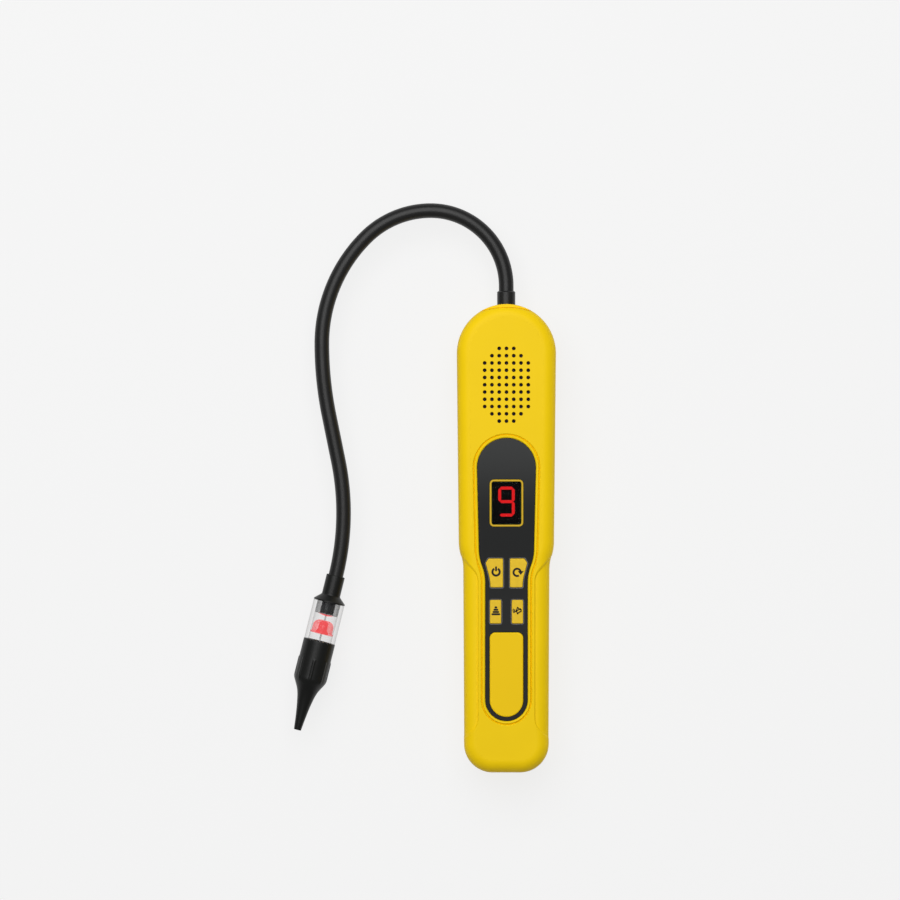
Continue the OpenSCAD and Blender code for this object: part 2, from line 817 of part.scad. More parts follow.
// Display and board stack, counted down from the front face
module_top_z = recess_z - 0.15;
digit_skin = 0.1;
module_width = window_width - 1.4;
module_length = window_height - 1.3;
board_z = module_top_z - module_depth;
board_thickness = 1.6;
board_low_z = board_z - board_thickness;
plunger_z = board_z + 4.3;
stem_z = plunger_z + key_travel + 0.05;
board_half = 15;
board_top_y = window_y + 23.4;
board_end_y = lower_key_y - lower_key_height - 4.5;
post_x = 12;
post_y = [board_top_y - 3.4, board_end_y + 3.4];
board_post_radius = 2.4;
board_screw_radius = 1;
board_screw_head = 2.1;
board_screw_length = 5;

module fascia() {
    color(fascia_grey) difference() {
        prism(fascia_plan(0), recess_z, fascia_top_z);
        prism(pad_plan(fascia_gap), recess_z - overlap, front_z);
        prism(window_plan(bezel_rim + fine_play), recess_z - overlap, front_z);
        key_openings(key_play, recess_z - overlap, front_z);
    }
}

module window_bezel() {
    color(key_yellow) difference() {
        prism(window_plan(bezel_rim), recess_z, front_z - fine_play);
        prism(window_plan(0), recess_z - overlap, front_z + overlap);
    }
}

module display_window() {
    color([0.1, 0.1, 0.1, 0.5])
        prism(window_plan(-fine_play), recess_z, fascia_top_z - fine_play);
}

module display_module() {
    color(black) translate([-module_width / 2, window_y - module_length / 2, board_z])
        cube([module_width, module_length, module_depth]);
}

module segment(length) {
    half = length / 2 - fine_play;
    tip = segment_width / 2;
    polygon([
        [-half, 0], [tip - half, tip], [half - tip, tip],
        [half, 0], [half - tip, -tip], [tip - half, -tip]
    ]);
}

// The figure nine: three bars across, two on the right, one on the left
module display_digit() {
    reach_x = (digit_width - segment_width) / 2;
    reach_y = (digit_height - segment_width) / 2;
    color(lit_red) translate([0, window_y + digit_raise, module_top_z]) linear_extrude(digit_skin) {
        for (y = [-reach_y, 0, reach_y]) translate([0, y]) segment(2 * reach_x);
        for (place = [[reach_x, reach_y / 2], [reach_x, -reach_y / 2], [-reach_x, reach_y / 2]])
            translate(place) rotate(90) segment(reach_y);
    }
}

module board_holes(radius, z0, z1) {
    both_sides() for (y = post_y)
        translate([post_x, y, z0]) cylinder(r = radius, h = z1 - z0);
}

module main_board() {
    color(board_green) difference() {
        translate([-board_half, board_end_y, board_low_z])
            cube([2 * board_half, board_top_y - board_end_y, board_thickness]);
        board_holes(board_screw_radius + 0.3, board_low_z - overlap, board_z + overlap);
        both_sides() translate([boss_x, low_boss_y, board_low_z - overlap])
            cylinder(r = boss_radius + 0.5, h = board_thickness + 2 * overlap);
    }
}

module board_screws() {
    color(steel) {
        board_holes(board_screw_head, board_low_z - 1.3, board_low_z);
        board_holes(board_screw_radius, board_low_z - 0.5, board_low_z + board_screw_length);
    }
}

module key_switches() {
    color(black) both_sides() for (y = [upper_switch_y, lower_switch_y])
        translate([switch_x, y, board_z]) {
            translate([-switch_side / 2, -switch_side / 2, 0])
                cube([switch_side, switch_side, switch_body]);
            cylinder(r = plunger_radius, h = plunger_z - board_z);
        }
}

// Speaker behind the grille
speaker_y = top_y - grille_from_top;
speaker_radius = speaker_diameter / 2;
cloth_thickness = 0.3;
cloth_half = 12.5;
cloth_reach = 7;
gasket_depth = 0.8;
gasket_z = face_z - cloth_thickness - gasket_depth;
rim_depth = 1.2;
basket_depth = 4.5;
magnet_radius = 8.5;
magnet_depth = 4;
grille_rows = [3, 5, 7, 7, 7, 7, 7, 7, 7, 5, 3];

module grille_holes() {
    for (row = [0:len(grille_rows) - 1])
        for (k = [0:grille_rows[row] - 1])
            translate([
                (k - (grille_rows[row] - 1) / 2) * grille_pitch,
                speaker_y + (row - (len(grille_rows) - 1) / 2) * grille_pitch,
                face_z - overlap
            ])
                cylinder(d = grille_hole, h = front_wall + 2 * overlap);
}

module cloth_form(grow) {
    translate([0, speaker_y, face_z - cloth_thickness - grow])
        linear_extrude(cloth_thickness + grow) {
            for (side = [-1, 1]) translate([0, side * cloth_reach]) circle(cloth_half + grow);
            square([2 * (cloth_half + grow), 2 * cloth_reach], center = true);
        }
}
module speaker_cloth() {
    color("#181818") cloth_form(0);
}

module on_speaker() {
    translate([0, speaker_y, gasket_z]) children();
}
module speaker_gasket() {
    color(black) on_speaker() difference() {
        cylinder(r = speaker_radius, h = gasket_depth);
        translate([0, 0, -overlap]) cylinder(r = speaker_radius - 1.6, h = gasket_depth + 2 * overlap);
    }
}
module speaker_frame() {
    color(dark_grey) on_speaker() turned([
        [speaker_radius - 1.6, 0], [speaker_radius, 0], [speaker_radius, -rim_depth],
        [speaker_radius - 1, -rim_depth], [magnet_radius, -basket_depth], [4, -basket_depth],
        [4, -basket_depth + 0.8], [magnet_radius - 0.6, -basket_depth + 0.8],
        [speaker_radius - 1.6, -rim_depth]
    ]);
}
module speaker_cone() {
    edge = speaker_radius - 1.7;
    color("#403830") on_speaker() turned([
        [edge, -0.1], [edge, -0.5], [3.9, -3.4], [3.9, -basket_depth], [3.5, -basket_depth],
        [3.5, -2.7], [0, -2.1], [0, -1.8], [3.7, -2.6], [edge - 0.6, -0.1]
    ]);
}
module speaker_magnet() {
    color(steel) on_speaker() translate([0, 0, -basket_depth - magnet_depth])
        cylinder(r = magnet_radius, h = magnet_depth);
}

// Case screws and their bosses
boss_x = 13.5;
boss_radius = 3;
high_boss_y = board_top_y + 9;
well_radius = 3;
well_depth = 4;
well_wall = 1.2;
case_screw_radius = 1.4;
case_screw_head = 2.6;
case_screw_head_depth = 2;
case_screw_grip = 8;
cross_slot = [3.2, 0.7, 1.6];

module at_bosses(z) {
    both_sides() for (y = [low_boss_y, high_boss_y]) translate([boss_x, y, z]) children();
}
module case_screws() {
    color(steel) at_bosses(well_depth) {
        translate([0, 0, -case_screw_head_depth]) difference() {
            cylinder(r = case_screw_head, h = case_screw_head_depth);
            for (turn = [0, 90]) rotate(turn) cube(cross_slot, center = true);
        }
        cylinder(r = case_screw_radius, h = parting_height - well_depth + case_screw_grip);
    }
}

// Battery bay
cell_radius = cell_diameter / 2;
cell_x = cell_radius + 0.75;
button_radius = 1.9;
button_length = 1;
spring_length = 3.5;
plate_thickness = 0.3;
plate_side = 9;
tray_wall = 0.9;
tray_from_butt = 6.9;
tray_half = 12.7;
tray_low_y = butt_y + tray_from_butt;
bay_low_y = tray_low_y + tray_wall + plate_thickness;
bay_high_y = bay_low_y + 2 * cell_length + spring_length;
tray_high_y = bay_high_y + plate_thickness + tray_wall;
boss_from_tray = 11.7;
low_boss_y = tray_high_y + boss_from_tray;
cell_z = wall + 0.4 + cell_radius;
tray_z = cell_z + cell_radius + 0.3;
tray_foot_z = wall + 0.55;
tray_rib = 4;
rib_half = 0.5;
corner_relief = [4.2, 5, 2];

module battery_tray() {
    outer = tray_half + tray_wall;
    color(black) difference() {
        union() {
            translate([-outer, tray_low_y, tray_z])
                cube([2 * outer, tray_high_y - tray_low_y, tray_wall]);
            for (y = [tray_low_y, tray_high_y - tray_wall])
                translate([-outer, y, tray_foot_z])
                    cube([2 * outer, tray_wall, tray_z - tray_foot_z]);
            both_sides() translate([tray_half, tray_low_y, tray_foot_z])
                cube([tray_wall, tray_high_y - tray_low_y, tray_z - tray_foot_z]);
            translate([-rib_half, tray_low_y, tray_z - tray_rib])
                cube([2 * rib_half, tray_high_y - tray_low_y, tray_rib]);
        }
        both_sides() translate([outer, tray_low_y, tray_foot_z] - [corner_relief.x, overlap, overlap])
            cube(corner_relief + overlap * [1, 1, 1]);
    }
}

module cell() {
    cylinder(r = cell_radius, h = cell_length - button_length);
    cylinder(r = button_radius, h = cell_length - fine_play);
}
module battery_cells() {
    color("#8a8f94") for (k = [0, 1]) {
        translate([cell_x, bay_low_y + spring_length + k * cell_length, cell_z])
            rotate([-90, 0, 0]) cell();
        translate([-cell_x, bay_high_y - spring_length - k * cell_length, cell_z])
            rotate([90, 0, 0]) cell();
    }
}

module battery_contacts() {
    color(steel) both_sides() for (y = [bay_low_y - plate_thickness, bay_high_y])
        translate([cell_x - plate_side / 2, y, cell_z - plate_side / 2])
            cube([plate_side, plate_thickness, plate_side]);
}

// Tapering coil of round wire, closed at both ends
wire_radius = 0.3;
wire_sides = 6;
coil_turns = 3;
coil_steps = 42;
coil_wide = 3.6;
coil_narrow = 1.8;
function coil_point(k, a) =
    let (
        f = k / coil_steps,
        turn = 360 * coil_turns * f,
        r = coil_wide + (coil_narrow - coil_wide) * f + wire_radius * cos(a)
    )
    [r * cos(turn), r * sin(turn),
        wire_radius + (spring_length - 2 * wire_radius) * f + wire_radius * sin(a)];
coil_points = [for (k = [0:coil_steps]) for (j = [0:wire_sides - 1])
    coil_point(k, 360 * j / wire_sides)];
coil_faces = concat(
    [[for (j = [0:wire_sides - 1]) wire_sides - 1 - j]],
    [for (k = [0:coil_steps - 1]) for (j = [0:wire_sides - 1])
        let (a = k * wire_sides + j, b = k * wire_sides + (j + 1) % wire_sides)
        [a, b, b + wire_sides, a + wire_sides]],
    [[for (j = [0:wire_sides - 1]) coil_steps * wire_sides + j]]
);

module battery_springs() {
    color(steel) {
        translate([cell_x, bay_low_y, cell_z]) rotate([-90, 0, 0]) polyhedron(coil_points, coil_faces);
        translate([-cell_x, bay_high_y, cell_z]) rotate([90, 0, 0]) polyhedron(coil_points, coil_faces);
    }
}

// Battery door: the back plate of the grip with the rear half of the butt wall
door_half = 12;
door_top_y = tray_high_y - 0.8;
tongue_reach = 0.9;
tongue_z = 1;
tongue_depth = 0.8;
tongue_length = 16;
tongue_y = [door_top_y - 6 - tongue_length, tray_low_y + 14];
thumb_rib_count = 5;
thumb_rib_pitch = 2.4;
thumb_rib_depth = 0.5;

module door_block(grow, z1) {
    translate([-door_half - grow, butt_y - overlap, -overlap])
        cube([2 * (door_half + grow), door_top_y + grow - butt_y + overlap, z1 + overlap]);
}

module battery_door() {
    color(case_yellow) difference() {
        union() {
            intersection() {
                rear_shell();
                door_block(0, parting_height - play);
            }
            both_sides() for (y = tongue_y)
                translate([door_half - overlap, y, tongue_z])
                    cube([overlap + tongue_reach, tongue_length, tongue_depth]);
        }
        for (k = [0:thumb_rib_count - 1])
            translate([-7, door_top_y - 8 - k * thumb_rib_pitch, -overlap])
                cube([14, 1, overlap + thumb_rib_depth]);
    }
}

module door_grooves() {
    both_sides() translate([door_half - overlap, butt_y - overlap, tongue_z - play])
        cube([
            overlap + tongue_reach + door_play, door_top_y - 5 - butt_y + overlap,
            tongue_depth + 2 * play
        ]);
}

module rear_case() {
    color(case_yellow) difference() {
        union() {
            rear_shell();
            at_bosses(wall - 0.5) {
                cylinder(r = well_radius + well_wall, h = well_depth + well_wall + 0.5 - wall + 0.8);
                cylinder(r = boss_radius, h = parting_height - wall + 0.5);
            }
            neck_rib(wall - 0.5, parting_height);
        }
        door_block(door_play, parting_height + 2 * overlap);
        door_grooves();
        at_bosses(-overlap) {
            cylinder(r = well_radius, h = well_depth + overlap);
            cylinder(r = case_screw_radius + 0.2, h = parting_height + 2 * overlap);
        }
        bush_cut();
    }
}

// Lens shaped ledge at the top of the front shell, in front of the bush
ledge_setback = 1.85;
ledge_radius = 40;
ledge_drop = 3.5;
ledge_half = 16;

module neck_ledge() {
    difference() {
        translate([-ledge_half, top_y - 8, front_z - ledge_drop])
            cube([2 * ledge_half, 10, ledge_drop + overlap]);
        translate([0, top_y - ledge_setback - ledge_radius, front_z - ledge_drop - overlap])
            cylinder(r = ledge_radius, h = ledge_drop + 3 * overlap);
    }
}

ring_play = 0.3;
ring_wall = 1.2;
ring_depth = 3;

module front_case() {
    color(case_yellow) difference() {
        union() {
            translate([0, 0, parting_height]) half_shell(front_height, flank_drop, front_wall);
            at_bosses(parting_height)
                cylinder(r = boss_radius, h = face_z - parting_height + 0.5);
            board_holes(board_post_radius, board_z, face_z + 0.5);
            neck_rib(parting_height, face_z + 0.5);
            translate([0, speaker_y, face_z - ring_depth]) difference() {
                cylinder(r = speaker_radius + ring_play + ring_wall, h = ring_depth + 0.5);
                translate([0, 0, -overlap])
                    cylinder(r = speaker_radius + ring_play, h = ring_depth + overlap);
            }
        }
        difference() {
            prism(fascia_plan(fascia_gap), recess_z, front_z + overlap);
            prism(pad_plan(0), recess_z - overlap, front_z + 2 * overlap);
        }
        difference() {
            prism(fascia_plan(lip_width + groove_width), front_z - groove_depth, front_z + overlap);
            prism(fascia_plan(lip_width), front_z - groove_depth - overlap, front_z + 2 * overlap);
        }
        prism(window_plan(-window_ledge), face_z - overlap, front_z);
        key_openings(key_play + 0.1, face_z - overlap, front_z);
        grille_holes();
        cloth_form(play);
        at_bosses(parting_height - overlap)
            cylinder(r = case_screw_radius + fine_play, h = case_screw_grip + 2 * overlap);
        board_holes(
            board_screw_radius + fine_play, board_z - overlap,
            board_low_z + board_screw_length + 0.5
        );
        bush_cut();
        neck_ledge();
    }
}

front_case();
rear_case();
battery_door();
fascia();
window_bezel();
display_window();
display_module();
display_digit();
power_key();
reset_key();
sensitivity_key();
mute_key();
main_board();
key_switches();
board_screws();
speaker_cloth();
speaker_gasket();
speaker_frame();
speaker_cone();
speaker_magnet();
battery_tray();
battery_cells();
battery_springs();
battery_contacts();
case_screws();
neck_bush();
neck_link_0();
neck_link_1();
neck_link_2();
neck_link_3();
neck_link_4();
neck_link_5();
neck_link_6();
neck_link_7();
neck_link_8();
probe_collar();
clear_housing();
lamp_dome();
lamp_core();
lamp_leads();
sensor_base();
sensor_can();
sensor_pins();
nose_seal();
probe_nose();
tip_filter();
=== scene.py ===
"""Looks of a hand-held refrigerant leak detector, in metres, in the frame of its CAD model.

Sizes in the classes are millimetres, as in the CAD source, and become metres when a mesh is made.
"""

from __future__ import annotations

import logging
import math
from dataclasses import dataclass, field, replace
from enum import Enum
from functools import partial
from typing import Any, Callable, Sequence, Union

import bmesh
import bpy
import numpy as np
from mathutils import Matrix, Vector
from mathutils.geometry import delaunay_2d_cdt


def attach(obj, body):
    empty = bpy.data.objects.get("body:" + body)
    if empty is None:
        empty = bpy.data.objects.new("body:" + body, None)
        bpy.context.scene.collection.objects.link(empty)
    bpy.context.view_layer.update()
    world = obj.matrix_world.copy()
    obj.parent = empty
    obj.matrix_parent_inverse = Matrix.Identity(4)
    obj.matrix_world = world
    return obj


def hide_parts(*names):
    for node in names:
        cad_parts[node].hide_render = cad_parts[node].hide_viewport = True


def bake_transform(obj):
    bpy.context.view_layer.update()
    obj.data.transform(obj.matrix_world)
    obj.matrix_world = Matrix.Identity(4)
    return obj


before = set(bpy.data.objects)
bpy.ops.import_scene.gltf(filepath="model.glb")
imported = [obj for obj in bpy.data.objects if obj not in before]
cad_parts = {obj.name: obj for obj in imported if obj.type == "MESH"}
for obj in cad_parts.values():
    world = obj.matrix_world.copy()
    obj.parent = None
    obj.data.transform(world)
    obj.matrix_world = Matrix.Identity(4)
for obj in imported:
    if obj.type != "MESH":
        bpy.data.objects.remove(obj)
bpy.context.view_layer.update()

LOG = logging.getLogger("leak_detector")
Array = np.ndarray
Point = tuple[float, float]
Colour = tuple[float, float, float]
Place = tuple[float, float, float]
Outline = Callable[[float], Array]
MM = 0.001  # metres in a millimetre
WELD = 0.0005  # distance below which two points are one, in millimetres
LEVEL = 1e-6  # rise below which a face is level, in millimetres
MERGE = 1e-7  # distance at which a filled region's points are joined
TINY = 1e-9  # area or bend that counts as none
NOT_ZERO = 1e-12  # least divisor
CRISP = 60.0  # angle above which edges of thin mouldings stay sharp, in degrees
BELOW = (0.0, 0.0, -900.0)  # point far below, which upper faces look away from


# Shader graph


def linear(colour: Colour) -> tuple[float, float, float, float]:
    """Turns a screen colour into the linear one that shaders take, by the sRGB curve.

    Args:
        colour: red, green and blue from 0 to 255.

    Returns:
        Linear red, green, blue and an alpha of one.
    """
    share = np.array(colour, float) / 255
    out = np.where(share <= 0.04045, share / 12.92, ((share + 0.055) / 1.055) ** 2.4)
    return (float(out[0]), float(out[1]), float(out[2]), 1.0)


class Field:
    """A socket that computes: arithmetic on it adds Math nodes to its graph."""

    def __init__(self, graph: Graph, socket: bpy.types.NodeSocket) -> None:
        """Wraps a socket.

        Args:
            graph: graph that holds the socket's node.
            socket: output socket to compute with.
        """
        self.graph = graph
        self.socket = socket

    def math(self, operation: str, *others: Value, first: Value | None = None) -> Field:
        """Adds one Math node; first goes in front of this field, for reflected operators."""
        inputs: list[Value] = [self, *others] if first is None else [first, self]
        return self.graph.add("ShaderNodeMath", inputs, operation=operation)

    def __add__(self, other: Value) -> Field:
        """Sum with another value."""
        return self.math("ADD", other)

    def __radd__(self, other: Value) -> Field:
        """Sum with a value on the left."""
        return self.math("ADD", first=other)

    def __sub__(self, other: Value) -> Field:
        """Difference to another value."""
        return self.math("SUBTRACT", other)

    def __rsub__(self, other: Value) -> Field:
        """Difference from a value on the left."""
        return self.math("SUBTRACT", first=other)

    def __mul__(self, other: Value) -> Field:
        """Product with another value."""
        return self.math("MULTIPLY", other)

    def __rmul__(self, other: Value) -> Field:
        """Product with a value on the left."""
        return self.math("MULTIPLY", first=other)

    def __truediv__(self, other: Value) -> Field:
        """Quotient by another value."""
        return self.math("DIVIDE", other)

    def __pow__(self, other: Value) -> Field:
        """This field raised to a power."""
        return self.math("POWER", other)

    def ramp(self, low: float, high: float) -> Field:
        """Smooth step from zero at the low value to one at the high value."""
        return self.graph.add(
            "ShaderNodeMapRange", [self, low, high, 0.0, 1.0], interpolation_type="SMOOTHSTEP"
        )


Value = Union[Field, float, tuple]


class Graph:
    """Node graph of one material or of the world."""

    def __init__(self, name: str, sky: bool = False) -> None:
        """Makes an empty material, or an empty world.

        Args:
            name: name of the material.
            sky: whether it is a world.
        """
        self.owner = bpy.data.worlds.new(name) if sky else bpy.data.materials.new(name)
        self.owner.use_nodes = True
        self.tree = self.owner.node_tree
        self.tree.nodes.clear()
        kind = "World" if sky else "Material"
        self.output = self.tree.nodes.new(f"ShaderNodeOutput{kind}")

    def add(
        self,
        kind: str,
        inputs: Sequence[Value] | dict[str, Value],
        result: int | str = 0,
        **settings: Any,
    ) -> Field:
        """Adds any node.

        Args:
            kind: Blender's name of the node type.
            inputs: values by place or by socket name; a field is linked, the rest is set.
            result: place or name of the output that is wanted.
            settings: properties of the node.

        Returns:
            The wanted output.
        """
        node = self.tree.nodes.new(kind)
        for key, value in settings.items():
            setattr(node, key, value)
        named = inputs.items() if isinstance(inputs, dict) else enumerate(inputs)
        for key, value in named:
            self.feed(node.inputs[key], value)
        return Field(self, node.outputs[result])

    def feed(self, socket: bpy.types.NodeSocket, value: Value) -> None:
        """Links a field to a socket, or sets the socket's own value.

        Args:
            socket: input to feed.
            value: field, number, vector or colour.
        """
        if isinstance(value, Field):
            self.tree.links.new(value.socket, socket)
        else:
            socket.default_value = value

    def place(self) -> Field:
        """Returns the object coordinates, in metres."""
        return self.add("ShaderNodeTexCoord", {}, "Object")

    def axis(self, name: str) -> Field:
        """Returns one object coordinate, X, Y or Z, in metres."""
        return self.add("ShaderNodeSeparateXYZ", [self.place()], name)

    def stretched(self, stretch: tuple[float, float, float]) -> Field:
        """Returns the object coordinates times a factor on each axis."""
        return self.add("ShaderNodeVectorMath", [self.place(), stretch], operation="MULTIPLY")

    def noise(
        self, size: float, detail: float = 2.0, stretch: tuple[float, float, float] = (1, 1, 1)
    ) -> Field:
        """Adds a noise.

        Args:
            size: size of its lumps in millimetres.
            detail: number of finer octaves.
            stretch: factors that squeeze the lumps on each axis.

        Returns:
            The noise, from zero to one.
        """
        return self.add(
            "ShaderNodeTexNoise",
            {"Vector": self.stretched(stretch), "Scale": 1 / (size * MM), "Detail": detail},
        )

    def mix(self, share: Value, low: Value, high: Value) -> Field:
        """Mixes two colours.

        Args:
            share: share of the second one.
            low: first colour.
            high: second colour.

        Returns:
            The mixed colour.
        """
        node = self.tree.nodes.new("ShaderNodeMix")
        node.data_type = "RGBA"
        for key, value in ((0, share), (6, low), (7, high)):
            self.feed(node.inputs[key], value)
        return Field(self, node.outputs[2])

    def bump(self, height: Field, depth: float, under: Field | None = None) -> Field:
        """Turns a height into a normal.

        Args:
            height: height, from zero to one.
            depth: depth of the relief in millimetres.
            under: normal that it lies on.

        Returns:
            The bent normal.
        """
        inputs: dict[str, Value] = {"Height": height, "Distance": depth * MM, "Strength": 1.0}
        if under is not None:
            inputs["Normal"] = under
        return self.add("ShaderNodeBump", inputs)

    def facing(self) -> Field:
        """Returns how far the surface turns away from the viewer, for glass edges."""
        return self.add("ShaderNodeLayerWeight", {"Blend": 0.5}, "Facing")

    def surface(self, shader: Field) -> Union[bpy.types.Material, bpy.types.World]:
        """Ends the graph with a shader and returns the finished material or world."""
        self.tree.links.new(shader.socket, self.output.inputs["Surface"])
        return self.owner

    def principled(self, inputs: dict[str, Value]) -> bpy.types.Material:
        """Ends the graph with a Principled shader whose inputs are given by name."""
        return self.surface(self.add("ShaderNodeBsdfPrincipled", inputs))


# Finishes


def shaded(colour: Colour, factor: float) -> tuple[float, float, float, float]:
    """Returns a screen colour times a factor, as a linear colour."""
    return linear(tuple(min(c * factor, 255) for c in colour))


@dataclass(frozen=True)
class Moulded:
    """Moulded plastic or rubber: drifting colour, eroded grain and uneven gloss."""

    name: str
    colour: Colour
    roughness: float = 0.42
    grain: float = 0.22
    grain_octaves: float = 3.0
    grain_gloss: float = 0.12
    depth: float = 0.004
    drift: float = 0.05
    drift_size: float = 18.0
    flow_share: float = 1 / 3
    flow_gloss: float = 0.08
    specular: float = 0.4

    def tint(self, graph: Graph) -> Field:
        """Returns the drifting colour, built in the given graph."""
        dark, light = shaded(self.colour, 1 - self.drift), shaded(self.colour, 1 + self.drift)
        return graph.mix(graph.noise(self.drift_size), dark, light)

    def material(self) -> bpy.types.Material:
        """Builds the node graph.

        Returns:
            The finished material.
        """
        graph = Graph(self.name)
        grain = graph.noise(self.grain, self.grain_octaves)
        flow = graph.noise(self.drift_size * self.flow_share)
        rough = self.roughness + (grain - 0.5) * self.grain_gloss + (flow - 0.5) * self.flow_gloss
        return graph.principled(
            {
                "Base Color": self.tint(graph),
                "Roughness": rough,
                "Normal": graph.bump(grain, self.depth),
                "Specular IOR Level": self.specular,
            }
        )


@dataclass(frozen=True)
class PaintedReflectionOverlay(Moulded):
    """Dark overlay with a painted reflection gradient: its colour at the top fades to two darker
    tints further down.
    """

    low: Colour = (40, 41, 41)
    middle: Colour = (33, 34, 34)
    # Spans along Y, in metres, over which the painted reflection fades between its tints
    low_reflection_fade: Point = (-0.045, 0.0)
    top_reflection_fade: Point = (0.008, 0.047)

    def tint(self, graph: Graph) -> Field:
        """Builds the colour with its painted reflection gradient.

        Args:
            graph: graph to build it in.

        Returns:
            The colour.
        """
        y = graph.axis("Y")
        lower = graph.mix(y.ramp(*self.low_reflection_fade), linear(self.low), linear(self.middle))
        return graph.mix(y.ramp(*self.top_reflection_fade), lower, linear(self.colour))


@dataclass(frozen=True)
class Metal:
    """Bare metal with fine turning marks."""

    name: str
    colour: Colour
    roughness: float = 0.3
    marks: float = 0.18
    marks_octaves: float = 3.0
    marks_gloss: float = 0.2
    depth: float = 0.004
    stretch: tuple[float, float, float] = (1.0, 0.12, 1.0)
    dull_size: float = 3.0
    dull: float = 0.82

    def material(self) -> bpy.types.Material:
        """Builds the node graph.

        Returns:
            The finished material.
        """
        graph = Graph(self.name)
        marks = graph.noise(self.marks, self.marks_octaves, self.stretch)
        dull = graph.noise(self.dull_size)
        return graph.principled(
            {
                "Base Color": graph.mix(dull, shaded(self.colour, self.dull), linear(self.colour)),
                "Metallic": 1.0,
                "Roughness": self.roughness + (marks - 0.5) * self.marks_gloss,
                "Normal": graph.bump(marks, self.depth),
            }
        )


@dataclass(frozen=True)
class Clear:
    """Clear plastic: see-through face on, denser where the surface turns away."""

    name: str
    colour: Colour
    face: float = 0.08
    edge: float = 0.5
    power: float = 3.0
    roughness: float = 0.08
    specular: float = 0.5
    glow: Colour = (0, 0, 0)
    strength: float = 0.0
    flow_size: float = 2.5
    flow_shade: float = 0.9
    flow_gloss: float = 0.05
    depth: float = 0.01

    def material(self) -> bpy.types.Material:
        """Builds the node graph.

        Returns:
            The finished material.
        """
        graph = Graph(self.name)
        flow = graph.noise(self.flow_size)
        shade = shaded(self.colour, self.flow_shade)
        return graph.principled(
            {
                "Base Color": graph.mix(flow, shade, linear(self.colour)),
                "Roughness": self.roughness + flow * self.flow_gloss,
                "Alpha": self.face + (self.edge - self.face) * graph.facing() ** self.power,
                "Specular IOR Level": self.specular,
                "Normal": graph.bump(flow, self.depth),
                "Emission Color": linear(self.glow),
                "Emission Strength": self.strength,
            }
        )


@dataclass(frozen=True)
class Lit:
    """Lit diffuser: even glow with a slightly darker skin of fine grain."""

    name: str
    colour: Colour
    strength: float = 1.0
    grain: float = 0.4
    grain_shade: float = 0.93
    grain_gloss: float = 0.1
    roughness: float = 0.4
    specular: float = 0.1
    unlit: tuple[float, float, float, float] = (0.05, 0.0, 0.0, 1.0)

    def material(self) -> bpy.types.Material:
        """Builds the node graph.

        Returns:
            The finished material.
        """
        graph = Graph(self.name)
        grain = graph.noise(self.grain)
        shade = shaded(self.colour, self.grain_shade)
        return graph.principled(
            {
                "Base Color": self.unlit,
                "Roughness": self.roughness + grain * self.grain_gloss,
                "Specular IOR Level": self.specular,
                "Emission Color": graph.mix(grain, shade, linear(self.colour)),
                "Emission Strength": self.strength,
            }
        )


@dataclass(frozen=True)
class Woven:
    """Fine cloth: two crossing sets of threads, their crests painted lighter than the hollows as
    painted highlight and shade.
    """

    name: str
    colour: Colour
    pitch: float = 0.35
    crest: float = 1.5
    roughness: float = 0.85
    crest_gloss: float = 0.1
    depth: float = 0.05

    def material(self) -> bpy.types.Material:
        """Builds the node graph.

        Returns:
            The finished material.
        """
        graph = Graph(self.name)
        turn = 2 * math.pi / (self.pitch * MM)
        weave = (graph.axis("X") * turn).math("SINE") * (graph.axis("Y") * turn).math("SINE")
        height = weave * 0.5 + 0.5
        # Painted highlight: the thread crests are lighter than the hollows
        crest = shaded(self.colour, self.crest)
        return graph.principled(
            {
                "Base Color": graph.mix(height, linear(self.colour), crest),
                "Roughness": self.roughness + height * self.crest_gloss,
                "Normal": graph.bump(height, self.depth),
            }
        )


@dataclass(frozen=True)
class Masked:
    """Circuit board: solder mask over lanes of tracks that come and go."""

    name: str
    colour: Colour
    track: Colour
    pitch: float = 1.27
    lane_edge: Point = (0.1, 0.5)
    run_size: float = 7.0
    run_stretch: tuple[float, float, float] = (1.0, 0.3, 1.0)
    run_edge: Point = (0.45, 0.55)
    roughness: float = 0.35
    grain: float = 0.5
    grain_gloss: float = 0.15
    depth: float = 0.03

    def material(self) -> bpy.types.Material:
        """Builds the node graph.

        Returns:
            The finished material.
        """
        graph = Graph(self.name)
        lanes = (graph.axis("X") * (2 * math.pi / (self.pitch * MM))).math("SINE")
        runs = graph.noise(self.run_size, 1.0, self.run_stretch).ramp(*self.run_edge)
        copper = lanes.ramp(*self.lane_edge) * runs
        return graph.principled(
            {
                "Base Color": graph.mix(copper, linear(self.colour), linear(self.track)),
                "Roughness": self.roughness + graph.noise(self.grain) * self.grain_gloss,
                "Normal": graph.bump(copper, self.depth),
            }
        )


Finish = Union[Moulded, Metal, Clear, Lit, Woven, Masked]

YELLOW = Moulded("case_yellow", (243, 205, 12), roughness=0.44, drift=0.012, specular=0.1)
PAD = replace(
    YELLOW, name="pad_yellow", colour=(240, 199, 16), grain=0.4, depth=0.008, roughness=0.52
)
KEY = Moulded(
    "key_yellow", (228, 189, 42), roughness=0.5, grain=0.5, depth=0.006, drift_size=2.0,
    specular=0.14,
)
BEZEL = Moulded("bezel_yellow", (205, 168, 28), roughness=0.4, drift=0.04, specular=0.2)
